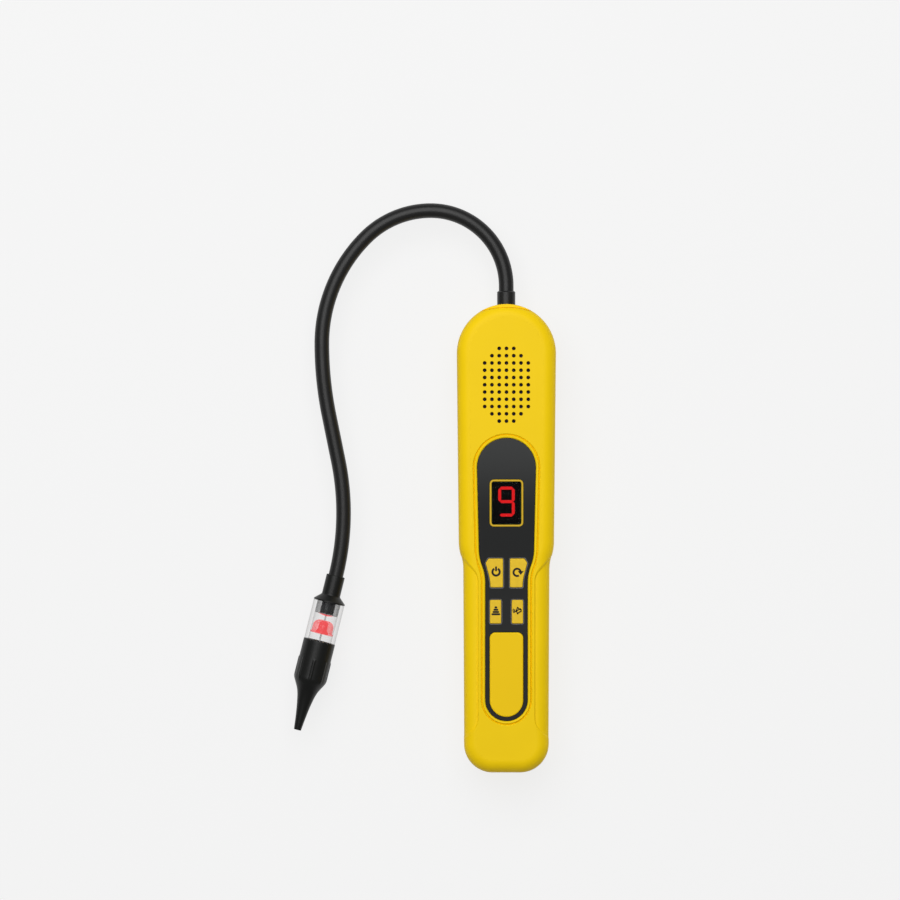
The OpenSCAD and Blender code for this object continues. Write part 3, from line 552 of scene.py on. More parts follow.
# Painted reflection: the overlay is lighter at the top and fades to darker tints further down
FASCIA = PaintedReflectionOverlay("fascia_dark", (58, 59, 59), roughness=0.5, grain=0.3, depth=0.003, specular=0.08)
KEYLINE = Moulded("keyline_grey", (108, 109, 114), roughness=0.5, drift=0.06, drift_size=3.0)
INK = Moulded(
    "symbol_black", (22, 20, 18), roughness=0.55, drift=0.1, drift_size=1.0, specular=0.2
)
WINDOW = Clear("window_glass", (6, 6, 7), face=0.2, roughness=0.05, specular=0.03)
SCREEN = Moulded("display_black", (5, 5, 6), roughness=0.5, specular=0.03)
DIGIT = Lit("digit_red", (244, 18, 24))
RUBBER = Moulded(
    "neck_black", (27, 27, 27), roughness=0.36, grain=0.5, depth=0.006, drift=0.08, specular=0.28
)
BLACK = Moulded(
    "probe_black", (18, 19, 18), roughness=0.38, grain=0.3, drift=0.08, specular=0.24
)
CLEAR = Clear("housing_clear", (128, 130, 132), face=0.04, power=2.5, specular=0.2)
# Dark translucent plug round the post in the housing's upper part
HOUSING_DARK = Clear("housing_dark", (56, 56, 58), face=0.32, edge=0.65, power=2.0, specular=0.15)
PINK = Clear(
    "lamp_pink", (250, 110, 114), face=0.46, edge=0.8, power=1.5, glow=(250, 100, 104),
    strength=0.3, specular=0.2,
)
RED = Lit("lamp_red", (236, 34, 36), strength=0.95)
# Painted reflection of the lamp's red light in the clear housing: a glowing red bowl that is no
# lamp
PAINTED_LAMP_REFLECTION = Clear(
    "painted_lamp_reflection", (250, 90, 96), face=0.5, edge=0.9, power=1.0, glow=(250, 80, 86), strength=0.5
)
STEEL = Metal("screw_steel", (176, 180, 184))
NICKEL = Metal("contact_nickel", (196, 196, 190), roughness=0.22)
MAGNET = Metal("magnet_steel", (120, 122, 126), roughness=0.42)
BRASS = Metal("pin_brass", (150, 140, 112))

NODE_FINISHES: dict[str, Finish] = {
    "rear_case": YELLOW,
    "battery_door": YELLOW,
    "display_module": SCREEN,
    "display_digit": DIGIT,
    "main_board": Masked("board_green", (26, 82, 44), (58, 122, 62)),
    "key_switches": Moulded("switch_black", (30, 30, 32), roughness=0.4),
    "board_screws": STEEL,
    "speaker_cloth": Woven("cloth_black", (30, 30, 48)),
    "speaker_gasket": Moulded("gasket_black", (26, 26, 26), roughness=0.8, grain=0.8, depth=0.03),
    "speaker_frame": Moulded("frame_black", (28, 28, 30), roughness=0.5),
    "speaker_cone": Moulded("cone_paper", (52, 50, 48), roughness=0.9, grain=0.6, depth=0.03),
    "speaker_magnet": MAGNET,
    "battery_tray": Moulded("tray_black", (30, 30, 30), roughness=0.5),
    "battery_cells": Moulded("cell_wrap", (62, 66, 72), roughness=0.3, drift=0.1),
    "battery_springs": NICKEL,
    "battery_contacts": NICKEL,
    "case_screws": STEEL,
    "neck_bush": RUBBER,
    "lamp_leads": Metal("lead_wire", (205, 206, 208)),
    "sensor_base": Moulded("base_black", (34, 34, 34), roughness=0.5),
    "sensor_can": Metal("sensor_can", (190, 190, 186)),
    "sensor_pins": BRASS,
    "nose_seal": Moulded("seal_black", (18, 18, 18), roughness=0.6),
    "tip_filter": Woven("filter_white", (150, 150, 148), pitch=0.5),
}


class Palette:
    """Makes each finish once."""

    def __init__(self) -> None:
        """Starts with no materials."""
        self.made: dict[str, bpy.types.Material] = {}

    def get(self, finish: Finish) -> bpy.types.Material:
        """Finds the material of a finish, or makes it.

        Args:
            finish: finish to look up.

        Returns:
            Its material.
        """
        if finish.name not in self.made:
            self.made[finish.name] = finish.material()
        return self.made[finish.name]


PALETTE = Palette()


# Skins


@dataclass
class Skin:
    """Points and faces of a surface in millimetres; a triangle repeats its third corner."""

    points: Array
    faces: Array
    slots: Array

    @staticmethod
    def grid(net: Array, wrap_u: bool = False, wrap_v: bool = False, slot: int = 0) -> Skin:
        """Joins a net of points by quads.

        Args:
            net: points by the two parameters u and v, as an array of shape u, v, 3.
            wrap_u: whether the last u joins the first.
            wrap_v: whether the last v joins the first.
            slot: material slot of the faces.

        Returns:
            The skin.
        """
        rows, columns = net.shape[:2]
        index = np.arange(rows * columns).reshape(rows, columns)
        index = np.vstack([index, index[:1]]) if wrap_u else index
        index = np.hstack([index, index[:, :1]]) if wrap_v else index
        quads = np.stack([index[:-1, :-1], index[1:, :-1], index[1:, 1:], index[:-1, 1:]], -1)
        faces = quads.reshape(-1, 4)
        return Skin(net.reshape(-1, 3), faces, np.full(len(faces), slot))

    @staticmethod
    def flat(outer: Array, holes: Sequence[Array], z: float, slot: int = 0) -> Skin:
        """Fills a flat region with triangles that face up.

        Args:
            outer: outline of the region, as points in the plane.
            holes: outlines of its holes.
            z: height of the region.
            slot: material slot of the faces.

        Returns:
            The skin.
        """
        loops = [outer, *holes]
        edges: list[tuple[int, int]] = []
        start = 0
        for loop in loops:
            size = len(loop)
            edges += [(start + k, start + (k + 1) % size) for k in range(size)]
            start += size
        coords = [Vector((float(x), float(y))) for x, y in np.concatenate(loops)]
        made = delaunay_2d_cdt(coords, edges, [], 0, MERGE)
        plane = np.array([(v.x, v.y) for v in made[0]])
        tris = np.array([f for f in made[2] if len(f) == 3])
        centre = plane[tris].mean(1)
        keep = inside(centre, outer)
        for hole in holes:
            keep &= ~inside(centre, hole)
        tris = tris[keep]
        a, b, c = (plane[tris[:, k]] for k in range(3))
        area = (b - a)[:, 0] * (c - a)[:, 1] - (b - a)[:, 1] * (c - a)[:, 0]
        tris = tris[np.abs(area) > TINY]
        area = area[np.abs(area) > TINY]
        tris[area < 0] = tris[area < 0][:, ::-1]
        points = np.column_stack([plane, np.full(len(plane), z)])
        return Skin(points, tris[:, [0, 1, 2, 2]], np.full(len(tris), slot))

    def __add__(self, other: Skin) -> Skin:
        """Puts two skins together."""
        return Skin(
            np.vstack([self.points, other.points]),
            np.vstack([self.faces, other.faces + len(self.points)]),
            np.concatenate([self.slots, other.slots]),
        )

    def away_from(self, centre: Place, inward: bool = False) -> Skin:
        """Turns the faces so that most of them look away from a point.

        Args:
            centre: point that they look away from.
            inward: whether they look towards it instead.

        Returns:
            The turned skin.
        """
        corners = self.points[self.faces]
        normal = np.cross(corners[:, 2] - corners[:, 0], corners[:, 3] - corners[:, 1])
        lean = float(np.sum(normal * (corners.mean(1) - np.array(centre))))
        turned = self.faces[:, ::-1] if (lean < 0) != inward else self.faces
        triangle = turned[:, 0] == turned[:, 1]
        turned = np.where(triangle[:, None], turned[:, [1, 2, 3, 3]], turned)
        return Skin(self.points, turned, self.slots)

    def welded(self) -> Skin:
        """Joins points of one place and drops empty faces.

        Returns:
            The joined skin.
        """
        key = np.round(self.points / WELD).astype(np.int64)
        _, first, back = np.unique(key, axis=0, return_index=True, return_inverse=True)
        faces = back.reshape(-1)[self.faces]
        a, b, c, d = faces.T
        order = np.array([[1, 2, 3, 3], [0, 2, 3, 3], [0, 1, 2, 2], [0, 1, 2, 3]])
        kind = np.select([a == b, b == c, (c == d) | (d == a)], [0, 1, 2], 3)
        faces = np.take_along_axis(faces, order[kind], 1)
        whole = (faces[:, 0] != faces[:, 1]) & (faces[:, 1] != faces[:, 2])
        whole &= (faces[:, 0] != faces[:, 2]) & (faces[:, 3] != faces[:, 0])
        return Skin(self.points[first], faces[whole], self.slots[whole])

    def piece(
        self, name: str, finishes: Sequence[Finish], sharp: float = 50.0
    ) -> bpy.types.Object:
        """Makes a Blender object of the skin.

        Args:
            name: name of the object.
            finishes: finishes of its material slots.
            sharp: angle in degrees above which an edge stays sharp.

        Returns:
            The object, at the origin and in metres.
        """
        skin = self.welded()
        triangle = skin.faces[:, 2] == skin.faces[:, 3]
        used = np.ones(skin.faces.shape, bool)
        used[triangle, 3] = False
        loops = skin.faces[used]
        starts = np.concatenate([[0], np.cumsum(np.where(triangle, 3, 4))[:-1]])
        mesh = bpy.data.meshes.new(name)
        mesh.vertices.add(len(skin.points))
        mesh.vertices.foreach_set("co", (skin.points * MM).astype(np.float32).ravel())
        mesh.loops.add(len(loops))
        mesh.loops.foreach_set("vertex_index", loops.astype(np.int32))
        mesh.polygons.add(len(skin.faces))
        mesh.polygons.foreach_set("loop_start", starts.astype(np.int32))
        mesh.polygons.foreach_set("material_index", skin.slots.astype(np.int32))
        mesh.update(calc_edges=True)
        mesh.set_sharp_from_angle(angle=math.radians(sharp))
        level = np.ptp(skin.points[skin.faces][..., 2], axis=1) < LEVEL
        mesh.polygons.foreach_set("use_smooth", ~level)
        for finish in finishes:
            mesh.materials.append(PALETTE.get(finish))
        made = bpy.data.objects.new(name, mesh)
        bpy.context.scene.collection.objects.link(made)
        return made


def inside(points: Array, loop: Array) -> Array:
    """Tests which points lie inside a closed outline.

    Args:
        points: points in the plane.
        loop: outline.

    Returns:
        One truth value for each point.
    """
    x, y = points[:, 0][:, None], points[:, 1][:, None]
    x0, y0 = loop[:, 0][None], loop[:, 1][None]
    x1, y1 = np.roll(loop[:, 0], -1)[None], np.roll(loop[:, 1], -1)[None]
    crosses = (y0 > y) != (y1 > y)
    rise = np.where(y1 == y0, 1.0, y1 - y0)
    return np.sum(crosses & (x < (x1 - x0) * (y - y0) / rise + x0), 1) % 2 == 1


def distance_inside(points: Array, loop: Array) -> Array:
    """Measures how deep points lie inside a closed outline.

    Args:
        points: points in the plane.
        loop: outline.

    Returns:
        Distances to the outline, negative outside it.
    """
    a = loop[None]
    d = np.roll(loop, -1, 0)[None] - a
    w = points[:, None] - a
    t = np.clip((w * d).sum(2) / np.maximum((d * d).sum(2), NOT_ZERO), 0, 1)
    reach = np.linalg.norm(w - t[..., None] * d, axis=2).min(1)
    return np.where(inside(points, loop), reach, -reach)


def smooth(value: Array, low: float, high: float) -> Array:
    """Smooth step of an array.

    Args:
        value: values.
        low: value that becomes zero.
        high: value that becomes one.

    Returns:
        Steps from zero to one.
    """
    t = np.clip((value - low) / (high - low), 0, 1)
    return t * t * (3 - 2 * t)


def rounded(
    points: Union[Array, Sequence[Point]], radii: Sequence[float], steps: int = 8
) -> Array:
    """Rounds the corners of an outline by arcs.

    Args:
        points: corners.
        radii: radius at each corner; zero keeps the corner.
        steps: number of straight pieces in one arc.

    Returns:
        The outline's points.
    """
    corners = np.array(points, float)
    out: list[Array] = []
    for k, radius in enumerate(radii):
        a, b, c = corners[k - 1], corners[k], corners[(k + 1) % len(corners)]
        if radius <= 0:
            out.append(b[None])
            continue
        ua, uc = (a - b) / np.linalg.norm(a - b), (c - b) / np.linalg.norm(c - b)
        half = math.acos(float(np.clip(ua @ uc, -1, 1))) / 2
        centre = b + (ua + uc) / np.linalg.norm(ua + uc) * radius / math.sin(half)
        first = b + ua * radius / math.tan(half) - centre
        last = b + uc * radius / math.tan(half) - centre
        start = math.atan2(first[1], first[0])
        turn = (math.atan2(last[1], last[0]) - start + math.pi) % (2 * math.pi) - math.pi
        angle = start + turn * np.linspace(0, 1, steps + 1)
        out.append(centre + radius * np.column_stack([np.cos(angle), np.sin(angle)]))
    return np.vstack(out)


def settle(piece: bpy.types.Object, body: str, node: str, slot: str) -> bpy.types.Object:
    """Puts a piece on its body in place of a CAD node.

    Args:
        piece: piece to settle.
        body: body that carries it.
        node: node that it stands for.
        slot: record's material slot; not used.

    Returns:
        The piece.
    """
    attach(piece, body)
    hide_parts(node)
    return piece


def loft(loops: Sequence[Array], heights: Sequence[float], slot: int = 0) -> Skin:
    """Joins outlines of equal point count into a wall.

    Args:
        loops: outlines in the plane.
        heights: height of each outline.
        slot: material slot of the faces.

    Returns:
        The wall.
    """
    rings = [np.column_stack([loop, np.full(len(loop), z)]) for loop, z in zip(loops, heights)]
    return Skin.grid(np.stack(rings, 1), wrap_u=True, slot=slot)


def edged(outline: Outline, table: Sequence[Point], slot: int = 0) -> Skin:
    """Raises a wall along an outline that grows and shrinks.

    Args:
        outline: outline by the distance that it moves out.
        table: that distance and the height of each ring.
        slot: material slot of the faces.

    Returns:
        The wall, which looks up.
    """
    loops = [outline(grow) for grow, _ in table]
    return loft(loops, [z for _, z in table], slot).away_from(BELOW)


def capped(outline: Outline, table: Sequence[Point], slot: int = 0) -> Skin:
    """Raises a wall along an outline and closes it by a flat top.

    Args:
        outline: outline by the distance that it moves out.
        table: that distance and the height of each ring.
        slot: material slot of the faces.

    Returns:
        The wall and its top.
    """
    grow, z = table[-1]
    return edged(outline, table, slot) + Skin.flat(outline(grow), [], z, slot)


def arc_step(radius: float, turn: float) -> Point:
    """Returns the route step of an arc as its length and its turn in degrees."""
    return (radius * math.radians(abs(turn)), turn)


@dataclass(frozen=True)
class Route:
    """Straights and arcs laid end to end in the plane."""

    start: Point
    heading: float
    steps: tuple[Point, ...]

    @property
    def ends(self) -> Array:
        """Lengths at which the steps start and end."""
        return np.concatenate([[0.0], np.cumsum([length for length, _ in self.steps])])

    def at(self, lengths: Array) -> tuple[Array, Array]:
        """Finds points of the route.

        Args:
            lengths: distances along it.

        Returns:
            Points, and headings in radians.
        """
        ends = self.ends
        place, heading = np.array(self.start, float), math.radians(self.heading)
        places, headings, bends = [], [], []
        for length, turn in self.steps:
            bend = math.radians(turn) / length
            places.append(place)
            headings.append(heading)
            bends.append(bend)
            place = place + self.run(np.array([heading]), np.array([bend]), np.array([length]))[0]
            heading += math.radians(turn)
        step = np.clip(np.searchsorted(ends, lengths, "right") - 1, 0, len(self.steps) - 1)
        along = lengths - ends[step]
        h, k = np.array(headings)[step], np.array(bends)[step]
        return np.array(places)[step] + self.run(h, k, along), h + k * along

    @staticmethod
    def run(heading: Array, bend: Array, length: Array) -> Array:
        """Moves along an arc or a straight.

        Args:
            heading: headings at the start, in radians.
            bend: turn for each millimetre, in radians.
            length: distances.

        Returns:
            Moves in the plane.
        """
        straight = np.abs(bend) < TINY
        safe = np.where(straight, 1.0, bend)
        end = heading + bend * length
        x = np.where(straight, length * np.cos(heading), (np.sin(end) - np.sin(heading)) / safe)
        y = np.where(straight, length * np.sin(heading), (np.cos(heading) - np.cos(end)) / safe)
        return np.column_stack([x, y])

    def closed(self, count: int) -> tuple[Array, Array]:
        """Samples the route and its mirror image as one closed outline.

        Args:
            count: number of pieces in one half.

        Returns:
            Points, and unit vectors that look inward.
        """
        points, heading = self.at(np.linspace(0, self.ends[-1], count + 1))
        inward = np.column_stack([np.sin(heading), -np.cos(heading)])
        flip = np.array([-1.0, 1.0])
        return (
            np.vstack([points, points[-2:0:-1] * flip]),
            np.vstack([inward, inward[-2:0:-1] * flip]),
        )


@dataclass(frozen=True)
class LongOutline:
    """Right half of a long outline: dome, leaning side, S shoulder, lower side, rounded end."""

    half: float
    top: float
    taper: float
    shoulder_at: float
    low_half: float
    shoulder: float
    low_taper: float
    end: float
    end_radius: float
    least_flat: float = 0.01

    def route(self) -> Route:
        """Lays the outline out as straights and arcs.

        The shoulder is two arcs of one radius, which bend inward and back again.

        Returns:
            The route, which starts at the top and heads right.
        """
        a1, a2 = math.radians(self.taper), math.radians(self.low_taper)
        side = (self.top - self.half - self.half * math.sin(a1) - self.shoulder_at) / math.cos(a1)
        dx = self.half * math.cos(a1) - side * math.sin(a1) - self.low_half
        q = dx / self.shoulder
        bend = math.atan(q) + math.acos(
            (math.cos(a1) + math.cos(a2) + q * (math.sin(a1) + math.sin(a2)))
            / (2 * math.sqrt(1 + q * q))
        )
        radius = self.shoulder / (2 * math.sin(bend) - math.sin(a1) - math.sin(a2))
        low = self.shoulder_at - self.shoulder - self.end - self.end_radius * (1 - math.sin(a2))
        low /= math.cos(a2)
        flat = self.low_half - low * math.sin(a2) - self.end_radius * math.cos(a2)
        arcs = [
            (self.half, -math.pi / 2 - a1),
            (None, side),
            (radius, a1 - bend),
            (radius, bend - a2),
            (None, low),
            (self.end_radius, a2 - math.pi / 2),
        ]
        steps = [
            (size, 0.0) if r is None else (r * abs(size), math.degrees(size)) for r, size in arcs
        ]
        if flat > self.least_flat:
            steps.append((flat, 0.0))
        return Route((0.0, self.top), 0.0, tuple(steps))


# Case


@dataclass
class CaseForm:
    """Sizes that the case's pieces share."""

    front: float = 32.0
    parting: float = 16.0
    edge: float = 6.0
    outline: LongOutline = LongOutline(23.4, 110.5, 0.6, -1.8, 20.4, 13.0, 0.3, -110.5, 13.5)
    fascia: LongOutline = LongOutline(13.8, 47.2, 1.3, -5.4, 9.95, 15.5, 0.0, -86.0, 9.95)
    flank_inset: float = 0.1
    flank_drop: float = 0.8
    crease: float = 13.4
    flank: Point = (-17.2, -88.5)
    slopes: Point = (1.1, 0.85)
    flank_corner: float = 8.0
    flank_far_corner: float = 1.0
    flank_steps: int = 12
    pad_half: float = 7.9
    pad_span: Point = (-84.1, -44.3)
    pad_corner: float = 2.7
    pad_end_flat: float = 0.01
    pad_steps: int = 20
    window_half: Point = (7.0, 10.15)
    window_y: float = 16.6
    window_corner: Point = (1.1, 0.3)
    window_steps: int = 10
    upper_key: tuple[tuple[float, ...], ...] = (
        (1.63, -9.5, -1, 1), (1.63, -23.1, -1, -1), (7.6, -23.1, 1, -1), (7.64, -19.8, 1, 0),
        (9.8, -11.6, 1, 0), (8.4, -9.5, 1, 1),
    )
    lower_key: tuple[tuple[float, ...], ...] = (
        (2.5, -29.0, -1, 1), (2.5, -40.1, -1, -1), (7.8, -40.1, 1, -1), (7.8, -29.0, 1, 1),
    )
    key_corner: Point = (0.6, 0.15)
    hollow_corner: int = 3
    hollow_radius: float = 21.0

    def flank_plan(self) -> Array:
        """Draws the right flank, which is lowered.

        Returns:
            Its outline, which runs out past the case's side.
        """
        reach = 2 * self.outline.half - self.crease
        far = self.crease + reach
        high, low = self.flank
        return rounded(
            [
                (self.crease, low),
                (far, low - reach * self.slopes[1]),
                (far, high + reach * self.slopes[0]),
                (self.crease, high),
            ],
            [self.flank_corner, self.flank_far_corner, self.flank_far_corner, self.flank_corner],
            self.flank_steps,
        )

    def pad(self, grow: float) -> Array:
        """Draws the thumb pad.

        Args:
            grow: distance that the outline moves out.

        Returns:
            Its outline.
        """
        half, corner = self.pad_half + grow, self.pad_corner + grow
        low, high = self.pad_span[0] - grow, self.pad_span[1] + grow
        end = half - self.pad_end_flat
        corners = [(-half, low), (half, low), (half, high), (-half, high)]
        return rounded(corners, [end, end, corner, corner], self.pad_steps)

    def window(self, grow: float) -> Array:
        """Draws the window.

        Args:
            grow: distance that the outline moves out.

        Returns:
            Its outline.
        """
        x, y = self.window_half[0] + grow, self.window_half[1] + grow
        corner = max(self.window_corner[0] + grow, self.window_corner[1])
        low, high = self.window_y - y, self.window_y + y
        corners = [(-x, low), (x, low), (x, high), (-x, high)]
        return rounded(corners, [corner] * 4, self.window_steps)

    def key(self, upper: bool, side: int, grow: float) -> Array:
        """Draws a key.

        Each row of a key's table is a corner and the signs by which it grows on both axes.

        Args:
            upper: whether it is one of the upper keys.
            side: 1 on the right, -1 on the left.
            grow: distance that the outline moves out.

        Returns:
            Its outline.
        """
        table = np.array(self.upper_key if upper else self.lower_key)
        corners = table[:, :2] + grow * table[:, 2:]
        radii = [max(self.key_corner[0] + grow, self.key_corner[1])] * len(corners)
        if upper:
            radii[self.hollow_corner] = self.hollow_radius
        return rounded(corners, radii) * np.array([side, 1.0])


@dataclass
class FrontShell:
    """Front half of the case: rounded rim, lowered flanks, grille, fascia recess and thumb pad."""

    form: CaseForm
    rows: int = 520
    reach: Point = (6.55, 7.5)
    reach_from: Point = (14.6, 18.6)
    flat_steps: int = 12
    lip: tuple[Point, ...] = ((0.35, 0.0), (0.05, 0.3), (0.0, 0.5), (0.0, 3.0), (0.0, 6.5))
    edge_angles: tuple[tuple[float, float, int], ...] = ((0, 20, 6), (22, 90, 35))
    crease_soft: float = 0.22
    flank_foot: float = 1.0
    ledge_radius: float = 40.0
    ledge_top: float = 108.65
    ledge_from: float = 90.0
    ledge_height: float = 27.2
    ledge_half: float = 16.0
    ledge_step: Point = (-0.03, 0.1)
    ledge_gap: float = 0.35
    gap_start: Point = (0.02, 0.12)
    gap_end: Point = (0.25, 0.4)
    grille_y: float = 72.3
    grille: tuple[int, ...] = (3, 5, 7, 7, 7, 7, 7, 7, 7, 5, 3)
    pitch: float = 3.42
    hole: float = 0.875
    hole_wall: tuple[Point, ...] = ((0.12, 0.0), (0.03, 0.06), (0.0, 0.2), (0.0, 2.9))
    hole_sides: int = 24
    groove_rows: int = 260
    groove: tuple[Point, ...] = (
        (2.3, 32.0), (2.18, 31.99), (2.08, 31.9), (1.94, 31.6), (1.78, 31.22), (1.65, 31.08),
        (1.52, 31.22), (1.36, 31.6), (1.22, 31.9), (1.12, 31.99), (1.0, 32.0), (0.65, 31.99),
        (0.4, 31.88), (0.2, 31.7), (0.1, 31.45), (0.1, 30.85), (-0.5, 30.8),
    )
    pad_edge: tuple[Point, ...] = (
        (0.0, 30.82), (0.0, 31.5), (-0.05, 31.72), (-0.17, 31.88), (-0.38, 31.98), (-0.7, 32.0),
    )

    def profile(self) -> Array:
        """Draws the rim's profile: lip, wall and an edge rounded by an arc.

        Returns:
            Inset and height of its points, from the seam to the flat face.
        """
        form = self.form
        low = np.array(self.lip) + np.array([0.0, form.parting])
        angle = np.radians(np.concatenate([np.linspace(*span) for span in self.edge_angles]))
        arc = np.column_stack(
            [form.edge * (1 - np.cos(angle)), form.front - form.edge * (1 - np.sin(angle))]
        )
        return np.vstack([low, arc])

    def rim(self) -> Array:
        """Makes the rim.

        Each outline point moves inward by the profile's inset and up to its height, and then
        over the flat face to a reach that ends outside the fascia's groove. Inside the flank's
        outline the inset grows by the flank's inset and the height falls by its drop, both by
        a smooth step of the depth inside that outline. Past the ledge's arc the height is cut
        down to the ledge, with a fine gap at the foot of the step.

        Returns:
            Net of points along the outline and along the profile.
        """
        form = self.form
        base, inward = form.outline.route().closed(self.rows)
        profile = self.profile()
        head, grip = self.reach
        reach = head + (grip - head) * smooth(-base[:, 1], *self.reach_from)
        share = np.linspace(0, 1, self.flat_steps + 1)[1:]
        level = form.edge + (reach[:, None] - form.edge) * share
        edge = np.broadcast_to(profile[:, 0], (len(base), len(profile)))
        inset = np.hstack([edge, level])
        flat = base[:, None] + inset[..., None] * inward[:, None]
        right = np.column_stack([np.abs(flat[..., 0]).ravel(), flat[..., 1].ravel()])
        depth = distance_inside(right, form.flank_plan()).reshape(inset.shape)
        sunk = smooth(depth, -self.crease_soft, self.crease_soft)
        flat = flat + (form.flank_inset * sunk)[..., None] * inward[:, None]
        z = np.broadcast_to(np.append(profile[:, 1], np.full(len(share), form.front)), sunk.shape)
        foot = form.parting + self.flank_foot
        z = z - form.flank_drop * sunk * smooth(z, foot, form.front - form.edge)
        centre = np.array([0.0, self.ledge_top - self.ledge_radius])
        past = np.linalg.norm(flat - centre, axis=2) - self.ledge_radius
        near = (np.abs(flat[..., 0]) < self.ledge_half) & (flat[..., 1] > self.ledge_from)
        past = np.where(near, past, -1)
        gap = self.ledge_gap * smooth(past, *self.gap_start) * (1 - smooth(past, *self.gap_end))
        z = z - smooth(past, *self.ledge_step) * np.maximum(z - self.ledge_height, 0) - gap
        return np.concatenate([flat, z[..., None]], 2)

    def hole_places(self) -> list[Point]:
        """Returns the centres of the grille holes."""
        middle = (len(self.grille) - 1) / 2
        return [
            ((k - (count - 1) / 2) * self.pitch, self.grille_y + (row - middle) * self.pitch)
            for row, count in enumerate(self.grille)
            for k in range(count)
        ]

    def build(self) -> bpy.types.Object:
        """Builds the shell's skin.

        Returns:
            The shell, riding on the handle in place of its CAD solid.
        """
        form = self.form
        rim = self.rim()
        edge, inward = form.fascia.route().closed(self.groove_rows)
        groove = np.array(self.groove)
        net = np.concatenate(
            [
                edge[:, None] - groove[None, :, 0, None] * inward[:, None],
                np.broadcast_to(groove[None, :, 1, None], (len(edge), len(groove), 1)),
            ],
            2,
        )
        turn = np.linspace(0, 2 * np.pi, self.hole_sides, endpoint=False)
        ring = np.column_stack([np.cos(turn), np.sin(turn)])
        skin = Skin.grid(rim, wrap_u=True).away_from((0, 0, form.parting))
        walls = [
            [np.array(place) + (self.hole + grow) * ring for grow, _ in self.hole_wall]
            for place in self.hole_places()
        ]
        mouths = [wall[0] for wall in walls]
        skin += Skin.flat(rim[:, -1, :2], [net[:, 0, :2], *mouths], form.front)
        skin += Skin.grid(net, wrap_u=True).away_from(BELOW)
        for wall in walls:
            skin += loft(wall, [form.front - sink for _, sink in self.hole_wall]).away_from(BELOW)
        skin += capped(form.pad, self.pad_edge, slot=1)
        shell = skin.piece("front_shell", [YELLOW, PAD], CRISP)
        return settle(shell, "handle", "front_case", "case_yellow")


@dataclass
class FasciaPlate:
    """Dark overlay plate with openings for window, keys and thumb pad."""

    form: CaseForm
    rows: int = 240
    outer: tuple[Point, ...] = (
        (0.0, 30.82), (0.0, 31.6), (0.04, 31.75), (0.14, 31.83), (0.3, 31.85), (0.55, 31.85),
    )
    lip: tuple[Point, ...] = (
        (0.3, 31.85), (0.12, 31.84), (0.05, 31.78), (0.0, 31.65), (0.0, 30.82),
    )
    pad_play: float = 0.1
    window_play: float = 0.98
    key_play: float = 0.15

    def build(self) -> bpy.types.Object:
        """Builds the plate.

        Returns:
            The plate, riding on the handle in place of its CAD solid.
        """
        form = self.form
        edge, inward = form.fascia.route().closed(self.rows)
        loops = [edge + d * inward for d, _ in self.outer]
        skin = loft(loops, [z for _, z in self.outer]).away_from(BELOW)
        outlines: list[tuple[Outline, float, int]] = [
            (form.pad, self.pad_play, 0),
            (form.window, self.window_play, 0),
        ]
        for upper in (True, False):
            for side in (1, -1):
                outlines.append((partial(form.key, upper, side), self.key_play, 1))
        holes: list[Array] = []
        for outline, play, slot in outlines:
            lip = [(play + grow, z) for grow, z in self.lip]
            skin += edged(outline, lip, slot)
            holes.append(outline(lip[0][0]))
        skin += Skin.flat(loops[-1], holes, self.outer[-1][1])
        plate = skin.piece("fascia_plate", [FASCIA, KEYLINE], CRISP)
        return settle(plate, "handle", "fascia", "fascia_dark")


@dataclass
class DisplayFront:
    """Bezel and window over the digit."""

    form: CaseForm
    rim: tuple[Point, ...] = (
        (0.93, 30.82), (0.93, 31.75), (0.85, 31.89), (0.7, 31.95), (0.25, 31.95),
        (0.1, 31.89), (0.02, 31.75), (0.02, 30.82),
    )
    pane: tuple[Point, ...] = ((-0.02, 30.85), (-0.02, 31.7), (-0.08, 31.78), (-0.2, 31.8))

    def build(self) -> list[bpy.types.Object]:
        """Builds bezel and window.

        Returns:
            Both pieces, riding on the handle in place of their CAD solids.
        """
        outline = self.form.window
        bezel = edged(outline, self.rim).piece("bezel_frame", [BEZEL], CRISP)
        pane = capped(outline, self.pane).piece("window_pane", [WINDOW], CRISP)
        return [
            settle(bezel, "handle", "window_bezel", "bezel_yellow"),
            settle(pane, "handle", "display_window", "window_glass"),
        ]


# Keys


class Sign(Enum):
    """Symbols printed on the keys."""

    POWER = "power"
    RESET = "reset"
    LEVEL = "sensitivity"
    MUTE = "mute"


@dataclass(frozen=True)
class Stroke:
    """Straight stroke with round ends: two half circles joined by its sides."""

    start: Point
    end: Point
    width: float
    steps: int = 9

    def outline(self) -> Array:
        """Draws the stroke.

        Returns:
            Its outline.
        """
        a, b = np.array(self.start), np.array(self.end)
        heading = math.atan2(b[1] - a[1], b[0] - a[0])
        turn = heading + np.linspace(-math.pi / 2, math.pi / 2, self.steps)
        cap = self.width / 2 * np.column_stack([np.cos(turn), np.sin(turn)])
        return np.vstack([b + cap, a - cap])


@dataclass(frozen=True)
class Bow:
    """Piece of a ring of a middle radius and a width, between two angles in degrees."""

    radius: float
    width: float
    first: float
    last: float
    centre: Point = (0.0, 0.0)
    steps: int = 40

    def outline(self) -> Array:
        """Draws the ring piece.

        Returns:
            Its outline.
        """
        turn = np.radians(np.linspace(self.first, self.last, self.steps))
        ring = np.column_stack([np.cos(turn), np.sin(turn)])
        outer, inner = (self.radius + self.width / 2) * ring, (self.radius - self.width / 2) * ring
        return np.vstack([outer, inner[::-1]]) + np.array(self.centre)


@dataclass(frozen=True)
class Patch:
    """Filled polygon."""

    corners: tuple[Point, ...]

    def outline(self) -> Array:
        """Returns the polygon's outline."""
        return np.array(self.corners)


Mark = Union[Stroke, Bow, Patch]

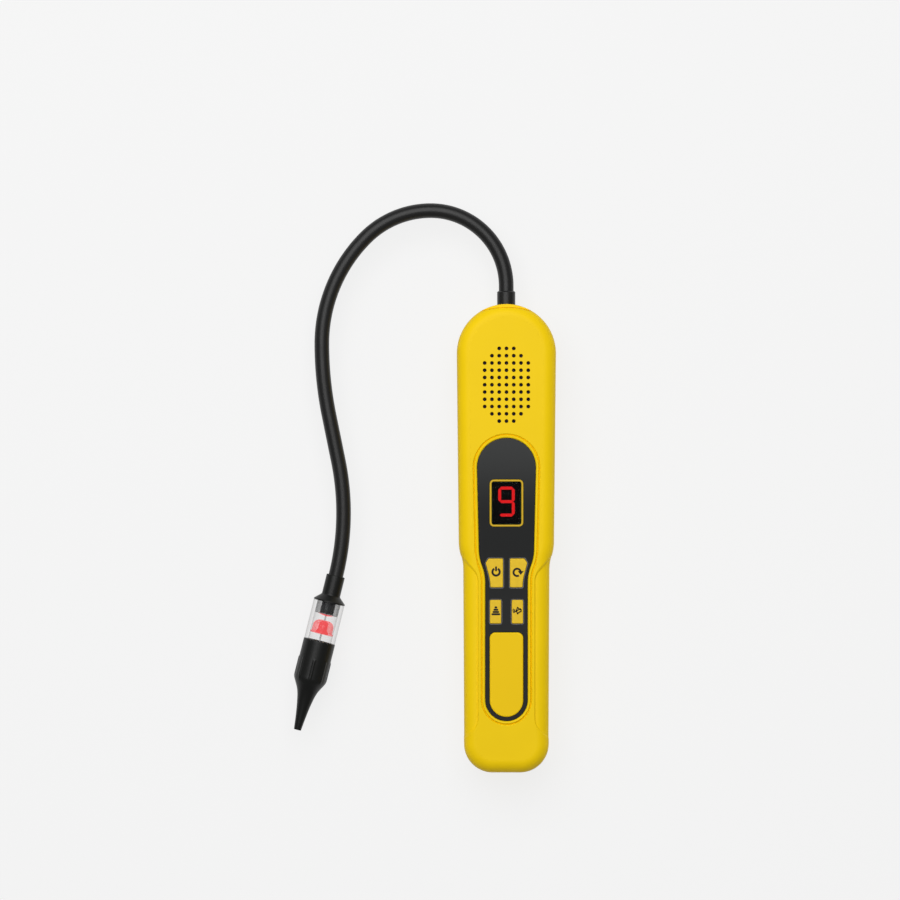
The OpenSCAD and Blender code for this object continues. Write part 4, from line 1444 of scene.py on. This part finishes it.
SPEAKER: tuple[Point, ...] = (
    (1.75, 0.5), (1.1, 0.6), (0.1, 1.5), (-0.45, 0), (0.1, -1.5), (1.1, -0.6), (1.75, -0.5),
)
BARS: tuple[Point, ...] = ((0.22, 1.62), (0.68, 0.54), (1.12, -0.54), (1.62, -1.62))
SIGN_MARKS: dict[Sign, tuple[Mark, ...]] = {
    Sign.POWER: (Bow(1.7, 1.0, 120, 420), Stroke((0, 0.7), (0, 2.2), 0.9)),
    Sign.RESET: (Bow(1.7, 0.95, 15, 300), Patch(((0.3, 0.6), (3.1, 0.6), (1.7, -1.2)))),
    Sign.LEVEL: tuple(Stroke((-half, y), (half, y), 0.93) for half, y in BARS),
    Sign.MUTE: (
        Bow(0.75, 0.5, 130, 230, (-0.55, 0)),
        Bow(1.45, 0.45, 145, 215, (-0.55, 0)),
        *(Stroke(a, b, 0.55) for a, b in zip(SPEAKER, SPEAKER[1:] + SPEAKER[:1])),
        Stroke((-1.6, -0.9), (1.4, 0.9), 0.5),
    ),
}


@dataclass
class Key:
    """Press key with a rounded cap and a printed symbol."""

    form: CaseForm
    sign: Sign
    upper: bool
    side: int
    symbol_at: Point
    cap: tuple[Point, ...] = (
        (0.0, 28.4), (0.0, 32.0), (-0.04, 32.18), (-0.13, 32.29), (-0.28, 32.34), (-0.5, 32.35),
    )
    print_height: float = 0.02

    def build(self) -> list[bpy.types.Object]:
        """Builds cap and print.

        Returns:
            Both pieces, riding on the key's body in place of its CAD solid.
        """
        outline = partial(self.form.key, self.upper, self.side)
        cap = capped(outline, self.cap).piece(f"{self.sign.value}_cap", [KEY], CRISP)
        height = self.cap[-1][1] + self.print_height
        marks = [mark.outline() + np.array(self.symbol_at) for mark in SIGN_MARKS[self.sign]]
        prints = [Skin.flat(mark, [], height) for mark in marks]
        ink = sum(prints[1:], prints[0]).piece(f"{self.sign.value}_symbol", [INK])
        body = f"{self.sign.value}_button"
        for piece in (cap, ink):
            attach(piece, body)
        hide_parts(f"{self.sign.value}_key")
        return [cap, ink]


# Gooseneck


@dataclass
class Neck:
    """Gooseneck: a rubber sleeve that runs smoothly along the route from each link to the next."""

    radius: float = 3.5
    height: float = 16.0
    sides: int = 40
    spacing: float = 1.2
    least_rings: int = 6
    tail: float = 4.0
    free: float = 18.0
    grip: float = 4.0
    return_radius: float = 123.0
    return_turn: float = -25.5
    route: Route = Route(
        (0.0, 98.8),
        90.0,
        (
            (20.4, 0.0),
            arc_step(35.7, 90.0),
            arc_step(43.5, 45.0),
            arc_step(71.0, 45.0),
            arc_step(171.0, 11.5),
            (21.9, 0.0),
            arc_step(return_radius, return_turn - math.degrees(grip / return_radius)),
        ),
    )
    stations: tuple[float, ...] = (28.0, 52.24, 76.48, 110.64, 166.41, 200.73, 222.63, 250.0)

    def sleeve(self, start: float, end: float) -> Skin:
        """Makes one stretch of the sleeve: circles square to the route, at even steps along it.

        Args:
            start: length along the route where it starts.
            end: length where it ends.

        Returns:
            The open tube.
        """
        count = max(self.least_rings, round((end - start) / self.spacing))
        points, heading = self.route.at(np.linspace(start, end, count + 1))
        turn = np.linspace(0, 2 * np.pi, self.sides, endpoint=False)
        across = np.column_stack([np.sin(heading), -np.cos(heading)])
        plane = points[:, None] + self.radius * np.cos(turn)[None, :, None] * across[:, None]
        z = np.broadcast_to(self.height + self.radius * np.sin(turn), plane.shape[:2])
        return Skin.grid(np.concatenate([plane, z[..., None]], 2), wrap_v=True)

    def build(self) -> list[bpy.types.Object]:
        """Builds the sleeves.

        Returns:
            One sleeve at each joint, baked in place in the model's frame.
        """
        links = [f"neck_{k}" for k in range(1, len(self.stations))]
        bodies = ["handle", *links, "probe"]
        cuts = [self.tail]
        cuts += [(a + b) / 2 for a, b in zip(self.stations, self.stations[1:])]
        cuts.append(float(self.route.ends[-1]))
        pieces = []
        for k, (start, end) in enumerate(zip(cuts, cuts[1:])):
            sleeve = self.sleeve(start, end).piece(f"neck_sleeve_{k + 1}", [RUBBER])
            held = np.array([max(start, self.free), min(end, cuts[-1] - self.grip)])
            (first, last), _ = self.route.at(held)
            bodies[k + 1]
            first[0] * MM
            first[1] * MM
            last[0] * MM
            last[1] * MM
            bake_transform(sleeve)
            nodes = [f"neck_link_{k + 1}"] + (["neck_link_0"] if k == 0 else [])
            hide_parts(*nodes)
            pieces.append(sleeve)
        return pieces


# Probe


@dataclass(frozen=True)
class TurnedForm:
    """Profile of a turned piece: corners as radius and distance along the axis, and their radii."""

    corners: tuple[Point, ...]
    radii: tuple[float, ...]
    steps: int = 8

    def line(self) -> Array:
        """Returns the profile with its corners rounded."""
        return rounded(self.corners, self.radii, self.steps)


@dataclass
class Probe:
    """Probe at the gooseneck's end: collar, clear housing, lamp and pull-off nose."""

    start: Point = (-80.640, -17.876)
    heading: float = 256.0
    height: float = 16.0
    sides: int = 96
    collar_form: TurnedForm = TurnedForm(
        (
            (3.55, 4.0), (3.55, 0.0), (4.4, 0.0), (4.4, 9.6), (7.5, 12.4), (7.5, 13.0),
            (3.2, 13.0), (3.2, 18.5), (0.0, 18.5), (0.0, 4.0),
        ),
        (0, 0.1, 0.25, 1.2, 0.3, 0.1, 0.2, 0.4, 0, 0),
    )
    collar_middle: float = 11.0
    tube_form: TurnedForm = TurnedForm(
        (
            (5.65, 37.2), (5.65, 19.5), (5.65, 13.3), (7.45, 13.05), (7.45, 31.8),
            (6.4, 31.8), (6.4, 37.2),
        ),
        (0, 0, 0.2, 0.35, 0.1, 0.1, 0.1),
    )
    tube_middle: float = 24.0
    plug_form: TurnedForm = TurnedForm(
        ((3.3, 13.1), (5.5, 13.1), (5.5, 18.9), (3.3, 18.9)), (0.1, 0.2, 0.2, 0.1)
    )
    plug_middle: float = 16.0
    # Glowing bowl that paints the lamp's red reflection at the plug's end
    reflection_radius: float = 3.9
    reflection_at: float = 18.95
    reflection_rise: float = 0.8
    reflection_rings: int = 16
    dome_form: TurnedForm = TurnedForm(
        ((0.0, 28.4), (5.5, 28.4), (5.5, 27.6), (5.0, 27.6), (5.0, 21.8), (0.0, 21.8)),
        (0, 0.2, 0.2, 0.3, 3.2, 0),
    )
    core_form: TurnedForm = TurnedForm(
        ((0.0, 28.2), (3.2, 28.2), (3.0, 27.3), (2.15, 26.2), (2.15, 22.2), (0.0, 22.2)),
        (0, 0.2, 0.3, 0.6, 1.6, 0),
    )
    lamp_middle: float = 26.0
    nose_radius: float = 7.6
    nose_middle: float = 46.0
    nose_head: TurnedForm = TurnedForm(
        ((6.5, 37.6), (6.5, 31.85), (7.6, 31.85), (7.6, 48.9)), (0, 0.12, 0.3, 0), 6
    )
    nose_span: tuple[float, float, int] = (33.0, 48.95, 60)
    nose_knots: tuple[Point, ...] = (
        (7.6, 49.0), (7.6, 50.2), (7.45, 51.1), (7.05, 52.1), (6.5, 53.1), (5.95, 54.1),
        (5.0, 56.0), (4.33, 58.0), (3.85, 60.0), (3.28, 63.0), (2.8, 66.0), (2.28, 70.0),
        (1.95, 73.0), (1.78, 74.6),
    )
    knot_steps: int = 8
    nose_tip: TurnedForm = TurnedForm(
        ((1.75, 74.7), (1.75, 75.2), (0.8, 75.2), (0.8, 68.0)), (0, 0.25, 0.15, 0), 6
    )
    nose_sides: int = 192
    nose_sharp: float = 55.0
    ribs: int = 8
    rib_radius: float = 0.9
    rib_stand: float = 0.3
    rib_start: Point = (40.4, 41.4)
    rib_end: Point = (48.8, 52.7)
    rib_floor: float = 6.6

    def turned(self, profile: Array, slot: int = 0, closed: bool = False) -> Skin:
        """Turns a profile about the probe's axis.

        Args:
            profile: radius and distance along the axis at each point.
            slot: material slot of the faces.
            closed: whether the profile's end joins its start.

        Returns:
            The turned skin.
        """
        turn = np.linspace(0, 2 * np.pi, self.sides, endpoint=False)
        radius = np.broadcast_to(profile[None, :, 0], (len(turn), len(profile)))
        return self.shaped(radius, profile[:, 1], turn, slot, closed)

    def shaped(
        self, radius: Array, along: Array, turn: Array, slot: int = 0, closed: bool = False
    ) -> Skin:
        """Places circles of changing radius along the probe's axis.

        A point lies at the axis point of its distance, plus its radius times the cosine of
        its turn across the axis and times the sine upwards.

        Args:
            radius: radii by turn and by distance.
            along: distances along the axis.
            turn: angles round the axis, in radians.
            slot: material slot of the faces.
            closed: whether the profile's end joins its start.

        Returns:
            The skin.
        """
        angle = math.radians(self.heading)
        axis = np.array([math.cos(angle), math.sin(angle)])
        across = np.array([math.sin(angle), -math.cos(angle)])
        plane = np.array(self.start) + along[None, :, None] * axis
        plane = plane + (radius * np.cos(turn)[:, None])[..., None] * across
        z = self.height + radius * np.sin(turn)[:, None]
        net = np.concatenate([plane, z[..., None]], 2)
        return Skin.grid(net, wrap_u=True, wrap_v=closed, slot=slot)

    def axis_point(self, along: float) -> Place:
        """Finds a point of the axis.

        Args:
            along: distance along the axis.

        Returns:
            The point.
        """
        angle = math.radians(self.heading)
        x, y = self.start
        return (x + along * math.cos(angle), y + along * math.sin(angle), self.height)

    def collar(self) -> bpy.types.Object:
        """Builds the collar: sleeve, cone, rim and post.

        Returns:
            The collar, riding on the probe in place of its CAD solid.
        """
        skin = self.turned(self.collar_form.line(), closed=True)
        piece = skin.away_from(self.axis_point(self.collar_middle)).piece("collar_sleeve", [BLACK])
        return settle(piece, "probe", "probe_collar", "probe_black")

    def housing(self) -> bpy.types.Object:
        """Builds the clear housing, its dark translucent upper plug round the post, and a glowing
        red bowl at that plug's end.

        The bowl is a painted reflection of the lamp's red light, glowing though it is no lamp; its
        rise falls with the square of the radius.

        Returns:
            The housing.
        """
        tube = self.turned(self.tube_form.line(), closed=True)
        skin = tube.away_from(self.axis_point(self.tube_middle))
        plug = self.turned(self.plug_form.line(), slot=1, closed=True)
        skin += plug.away_from(self.axis_point(self.plug_middle))
        # Painted reflection: a glowing red bowl at the plug's end
        reach = np.linspace(self.reflection_radius, 0.0, self.reflection_rings)
        rise = self.reflection_rise * (1 - (reach / self.reflection_radius) ** 2)
        lens = self.turned(np.column_stack([reach, self.reflection_at + rise]), slot=2)
        skin += lens.away_from(self.axis_point(0.0))
        piece = skin.piece("clear_tube", [CLEAR, HOUSING_DARK, PAINTED_LAMP_REFLECTION])
        return settle(piece, "probe", "clear_housing", "housing_clear")

    def lamp(self) -> list[bpy.types.Object]:
        """Builds the lamp's dome and core.

        Returns:
            Both pieces, riding on the probe in place of their CAD solids.
        """
        middle = self.axis_point(self.lamp_middle)
        dome = self.turned(self.dome_form.line()).away_from(middle).piece("lamp_shade", [PINK])
        core = self.turned(self.core_form.line()).away_from(middle).piece("lamp_heart", [RED])
        return [
            settle(dome, "probe", "lamp_dome", "lamp_pink"),
            settle(core, "probe", "lamp_core", "lamp_red"),
        ]

    def nose(self) -> bpy.types.Object:
        """Makes the nose: its profile runs from the seat over the lip to the nozzle's bore.

        The radius is the profile's, plus for each rib the part of a rib circle that stands
        out of it, faded in at the rib's rounded upper end and out at its foot.

        Returns:
            The nose, riding on its own body.
        """
        nozzle = self.spline(np.array(self.nose_knots), self.knot_steps)
        distance = np.linspace(*self.nose_span)
        barrel = np.column_stack([np.full(len(distance), self.nose_radius), distance])
        profile = np.vstack([self.nose_head.line()[:-1], barrel, nozzle, self.nose_tip.line()])
        turn = np.linspace(0, 2 * np.pi, self.nose_sides, endpoint=False)
        pitch = 2 * np.pi / self.ribs
        swing = (turn + pitch / 2) % pitch - pitch / 2
        centre = self.nose_radius + self.rib_stand - self.rib_radius
        side = np.minimum(np.abs(centre * np.sin(swing)), self.rib_radius)
        crown = centre * np.cos(swing) + np.sqrt(self.rib_radius**2 - side**2)
        base, along = profile[None, :, 0], profile[:, 1]
        fade = smooth(along, *self.rib_start) * (1 - smooth(along, *self.rib_end))
        stand = np.maximum(crown - self.nose_radius, 0)[:, None] * fade[None]
        radius = base + np.where(base > self.rib_floor, stand, 0)
        skin = self.shaped(radius, along, turn).away_from(self.axis_point(self.nose_middle))
        piece = skin.piece("nose_cone", [BLACK], self.nose_sharp)
        return settle(piece, "nose", "probe_nose", "probe_black")

    @staticmethod
    def spline(knots: Array, steps: int) -> Array:
        """Runs a smooth curve through points, each pull set by its two neighbours.

        Args:
            knots: points of the curve.
            steps: number of pieces between two points.

        Returns:
            Points of the curve.
        """
        padded = np.vstack([2 * knots[0] - knots[1], knots, 2 * knots[-1] - knots[-2]])
        t = np.linspace(0, 1, steps, endpoint=False)[:, None]
        parts = []
        for p0, p1, p2, p3 in zip(padded, padded[1:], padded[2:], padded[3:]):
            m1, m2 = (p2 - p0) / 2, (p3 - p1) / 2
            parts.append(
                (2 * t**3 - 3 * t**2 + 1) * p1
                + (t**3 - 2 * t**2 + t) * m1
                + (3 * t**2 - 2 * t**3) * p2
                + (t**3 - t**2) * m2
            )
        return np.vstack([*parts, knots[-1:]])

    def build(self) -> list[bpy.types.Object]:
        """Builds and returns all pieces of the probe."""
        return [self.collar(), self.housing(), *self.lamp(), self.nose()]


# CAD pieces that stay


@dataclass
class CadPieces:
    """Finishes of the CAD pieces that are shown as they are, and smooth copies of two of them."""

    finishes: dict[str, Finish] = field(default_factory=lambda: dict(NODE_FINISHES))
    copies: tuple[tuple[str, str, str], ...] = (
        ("rear_case", "rear_shell", "handle"),
        ("battery_door", "door_skin", "door"),
    )
    sharp: float = 28.0
    level: float = 0.9999
    weight: int = 100

    def dress(self) -> int:
        """Gives each piece its finish.

        Returns:
            The number of pieces dressed.
        """
        for node, finish in self.finishes.items():
            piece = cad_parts[node]
            for slot in piece.material_slots:
                slot.material = PALETTE.get(finish)
        for node, name, body in self.copies:
            self.copy(node, name, body)
        return len(self.finishes)

    def copy(self, node: str, name: str, body: str) -> bpy.types.Object:
        """Makes a merged copy of a faceted piece whose rounded faces shade smoothly.

        Args:
            node: CAD piece to copy.
            name: name of the copy.
            body: body that carries it.

        Returns:
            The copy, riding on its body in place of the CAD piece.
        """
        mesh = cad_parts[node].data.copy()
        mesh.name = name
        net = bmesh.new()
        net.from_mesh(mesh)
        bmesh.ops.remove_doubles(net, verts=net.verts, dist=WELD * MM)
        net.to_mesh(mesh)
        net.free()
        mesh.set_sharp_from_angle(angle=math.radians(self.sharp))
        upright = np.array([face.normal.z for face in mesh.polygons])
        mesh.polygons.foreach_set("use_smooth", np.abs(upright) < self.level)
        made = bpy.data.objects.new(name, mesh)
        bpy.context.scene.collection.objects.link(made)
        even = made.modifiers.new("even", "WEIGHTED_NORMAL")
        even.keep_sharp = True
        even.weight = self.weight
        finish = self.finishes[node]
        mesh.materials.clear()
        mesh.materials.append(PALETTE.get(finish))
        return settle(made, body, node, finish.name)


# Studio


@dataclass(frozen=True)
class SoftBox:
    """Rectangular soft light that looks at the object, in metres and watts."""

    name: str
    place: Place
    size: Point
    power: float
    gloss: bool = True
    target: Place = (-0.02, 0.03, 0.016)

    def build(self) -> None:
        """Adds the light; where gloss is off, glossy surfaces do not mirror it."""
        data = bpy.data.lights.new(self.name, "AREA")
        data.shape = "RECTANGLE"
        data.size, data.size_y = self.size
        data.energy = self.power
        made = bpy.data.objects.new(self.name, data)
        made.location = self.place
        look = Vector(self.target) - Vector(self.place)
        made.rotation_euler = look.to_track_quat("-Z", "Y").to_euler()
        made.visible_camera = False
        made.visible_glossy = self.gloss
        bpy.context.scene.collection.objects.link(made)


@dataclass
class Studio:
    """Floor, soft lights and a camera that looks straight down, as in the photograph."""

    centre: Point = (-0.0266, 0.0416)
    camera_height: float = 3.0
    frame_width: float = 0.4257
    focus_height: float = 0.018
    sensor: float = 36.0
    sight: float = 50.0
    floor_half: float = 6.0
    floor_height: float = -0.0002
    pale: Colour = (245, 245, 245)
    floor_bounce: float = 0.6
    floor_shadow: float = 0.12
    sky_level: float = 0.25
    lights: tuple[SoftBox, ...] = (
        SoftBox("key", (-0.16, 0.5, 1.15), (1.2, 1.2), 15.7),
        SoftBox("rim", (0.9, 0.0, -0.7), (0.4, 0.9), 3.0, gloss=False),
        SoftBox("below", (0.0, -0.05, -1.2), (0.9, 0.9), 5.0, gloss=False),
    )

    def camera(self) -> None:
        """Sets up the camera."""
        data = bpy.data.cameras.new("camera")
        data.sensor_width = self.sensor
        data.lens = self.sensor * (self.camera_height - self.focus_height) / self.frame_width
        data.clip_end = self.sight
        made = bpy.data.objects.new("camera", data)
        made.location = (*self.centre, self.camera_height)
        bpy.context.scene.collection.objects.link(made)
        bpy.context.scene.camera = made

    def floor(self) -> None:
        """Lays the floor: an even pale ground to the eye, dimmer to soft light, faintly shaded."""
        half, z = self.floor_half, self.floor_height
        net = np.array([[(-half, -half, z), (-half, half, z)], [(half, -half, z), (half, half, z)]])
        skin = Skin.grid(net / MM).away_from(BELOW)
        graph = Graph("floor_pale")
        pale = linear(self.pale)
        glow = graph.add("ShaderNodeEmission", {"Color": pale, "Strength": 1.0})
        paint = graph.add("ShaderNodeBsdfDiffuse", {"Color": pale})
        dim = graph.add("ShaderNodeEmission", {"Color": pale, "Strength": self.floor_bounce})
        clear = graph.add("ShaderNodeBsdfTransparent", {})
        soft = graph.add("ShaderNodeLightPath", {}, "Is Diffuse Ray")
        behind = graph.add("ShaderNodeNewGeometry", {}, "Backfacing")
        shader = graph.add("ShaderNodeMixShader", [self.floor_shadow, glow, paint])
        shader = graph.add("ShaderNodeMixShader", [soft, shader, dim])
        material = graph.surface(graph.add("ShaderNodeMixShader", [behind, shader, clear]))
        floor = skin.piece("floor", [])
        floor.data.materials.append(material)
        floor.visible_shadow = False

    def sky(self) -> None:
        """Sets up the world: as pale as the floor to the eye, dim to everything else."""
        graph = Graph("studio", sky=True)
        pale = linear(self.pale)
        dim = graph.add("ShaderNodeBackground", {"Color": pale, "Strength": self.sky_level})
        seen = graph.add("ShaderNodeBackground", {"Color": pale, "Strength": 1.0})
        eye = graph.add("ShaderNodeLightPath", {}, "Is Camera Ray")
        shader = graph.add("ShaderNodeMixShader", [eye, dim, seen])
        bpy.context.scene.world = graph.surface(shader)

    def build(self) -> None:
        """Sets up view, light and floor."""
        bpy.context.scene.view_settings.view_transform = "Standard"
        self.sky()
        self.camera()
        self.floor()
        for light in self.lights:
            light.build()


def main() -> None:
    """Builds the looks piece by piece."""
    logging.basicConfig(level=logging.INFO, format="%(name)s: %(message)s")
    form = CaseForm()
    Studio().build()
    shell = FrontShell(form).build()
    LOG.info("front shell: %d faces", len(shell.data.polygons))
    plate = FasciaPlate(form).build()
    LOG.info("fascia: %d faces", len(plate.data.polygons))
    pieces: list[bpy.types.Object] = DisplayFront(form).build()
    keys = [
        Key(form, Sign.POWER, True, -1, (-4.92, -15.8)),
        Key(form, Sign.RESET, True, 1, (5.0, -16.0)),
        Key(form, Sign.LEVEL, False, -1, (-5.0, -34.1)),
        Key(form, Sign.MUTE, False, 1, (5.1, -34.0)),
    ]
    for key in keys:
        pieces += key.build()
    pieces += Neck().build()
    pieces += Probe().build()
    LOG.info("further pieces: %d", len(pieces))
    LOG.info("CAD pieces dressed: %d", CadPieces().dress())


if __name__ == "__main__":
    main()
